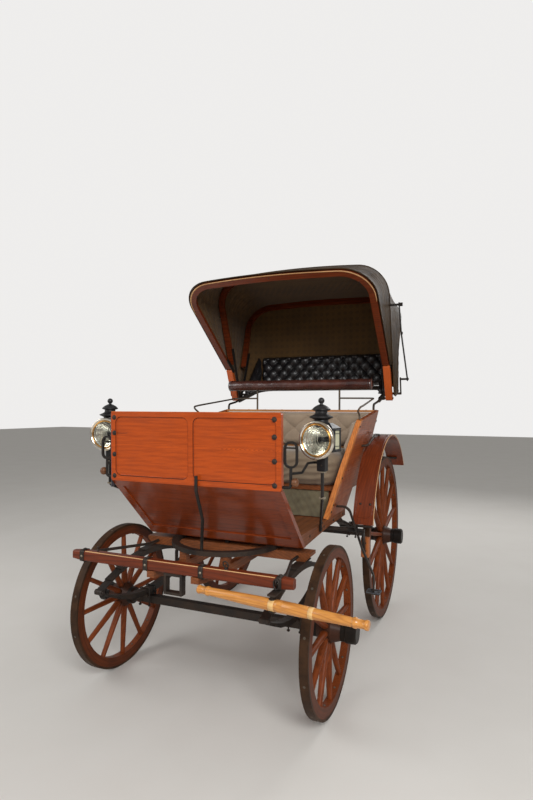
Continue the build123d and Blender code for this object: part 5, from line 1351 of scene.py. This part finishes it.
LENS, SENSOR = 23.9, 36.0
CAMERA_PLACE = (1.363, -2.550, 1.48)
HEADING, TILT, LEAN = (math.radians(angle) for angle in (23.005, 90.978, 0.283))
camera = bpy.data.cameras.new("camera")
camera.lens, camera.sensor_width = LENS, SENSOR
viewpoint = bpy.data.objects.new("camera", camera)
turn = Matrix.Rotation(HEADING, 4, "Z") @ Matrix.Rotation(TILT, 4, "X") @ Matrix.Rotation(LEAN, 4, "Z")
viewpoint.matrix_world = Matrix.Translation(CAMERA_PLACE) @ turn
bpy.context.scene.collection.objects.link(viewpoint)
bpy.context.scene.camera = viewpoint


def soft_box(name, place, target, size, power):
    """A large square lamp aimed at a point."""
    lamp = bpy.data.lights.new(name, "AREA")
    lamp.shape, lamp.size, lamp.energy = "SQUARE", size, power
    made = bpy.data.objects.new(name, lamp)
    aim = (Vector(target) - Vector(place)).to_track_quat("-Z", "Y").to_matrix().to_4x4()
    made.matrix_world = Matrix.Translation(place) @ aim
    bpy.context.scene.collection.objects.link(made)


soft_box("key", (3.4, -4.2, 3.9), (0.0, 0.2, 1.2), 2.4, 250.0)
soft_box("fill", (-4.2, -2.6, 3.4), (0.0, 0.4, 1.2), 3.0, 90.0)
soft_box("back", (1.5, 5.5, 4.2), (0.0, 0.8, 1.2), 3.0, 90.0)

# Camera rays and rays through the glass see a pale background; the carriage is lit by a dimmer one
LIT_STRENGTH, SHOWN_STRENGTH = 0.36, 1.0
world = bpy.data.worlds.new("studio")
bpy.context.scene.world = world
world.use_nodes = True
sky = world.node_tree
paths = sky.nodes.new("ShaderNodeLightPath")
seen = sky.nodes.new("ShaderNodeMath")
seen.operation = "MAXIMUM"
sky.links.new(paths.outputs["Is Camera Ray"], seen.inputs[0])
sky.links.new(paths.outputs["Is Transmission Ray"], seen.inputs[1])
plain, shown = sky.nodes["Background"], sky.nodes.new("ShaderNodeBackground")
plain.inputs["Color"].default_value = (1.0, 0.99, 0.97, 1.0)
plain.inputs["Strength"].default_value = LIT_STRENGTH
shown.inputs["Color"].default_value = (0.86, 0.85, 0.84, 1.0)
shown.inputs["Strength"].default_value = SHOWN_STRENGTH
choose = sky.nodes.new("ShaderNodeMixShader")
sky.links.new(seen.outputs[0], choose.inputs[0])
sky.links.new(plain.outputs[0], choose.inputs[1])
sky.links.new(shown.outputs[0], choose.inputs[2])
sky.links.new(choose.outputs[0], sky.nodes["World Output"].inputs["Surface"])

ground = Finish("pale_floor", rough=0.8)
mottle = ground.noise(ground.place, 2.0)
ground.feed("Base Color", ground.blend(mottle, colour(222, 219, 214), colour(214, 210, 204)))
side = np.linspace(-30, 30, 2)
floor_points = np.stack(np.meshgrid(side, side, [0.0], indexing="ij"), axis=-1).reshape(2, 2, 3)
floor_sheet = piece("floor_sheet", [grid(floor_points)], ground.material, outward=False)
if floor_sheet.data.polygons[0].normal.z < 0:
    floor_sheet.data.flip_normals()

bpy.context.scene.view_settings.view_transform = "Standard"
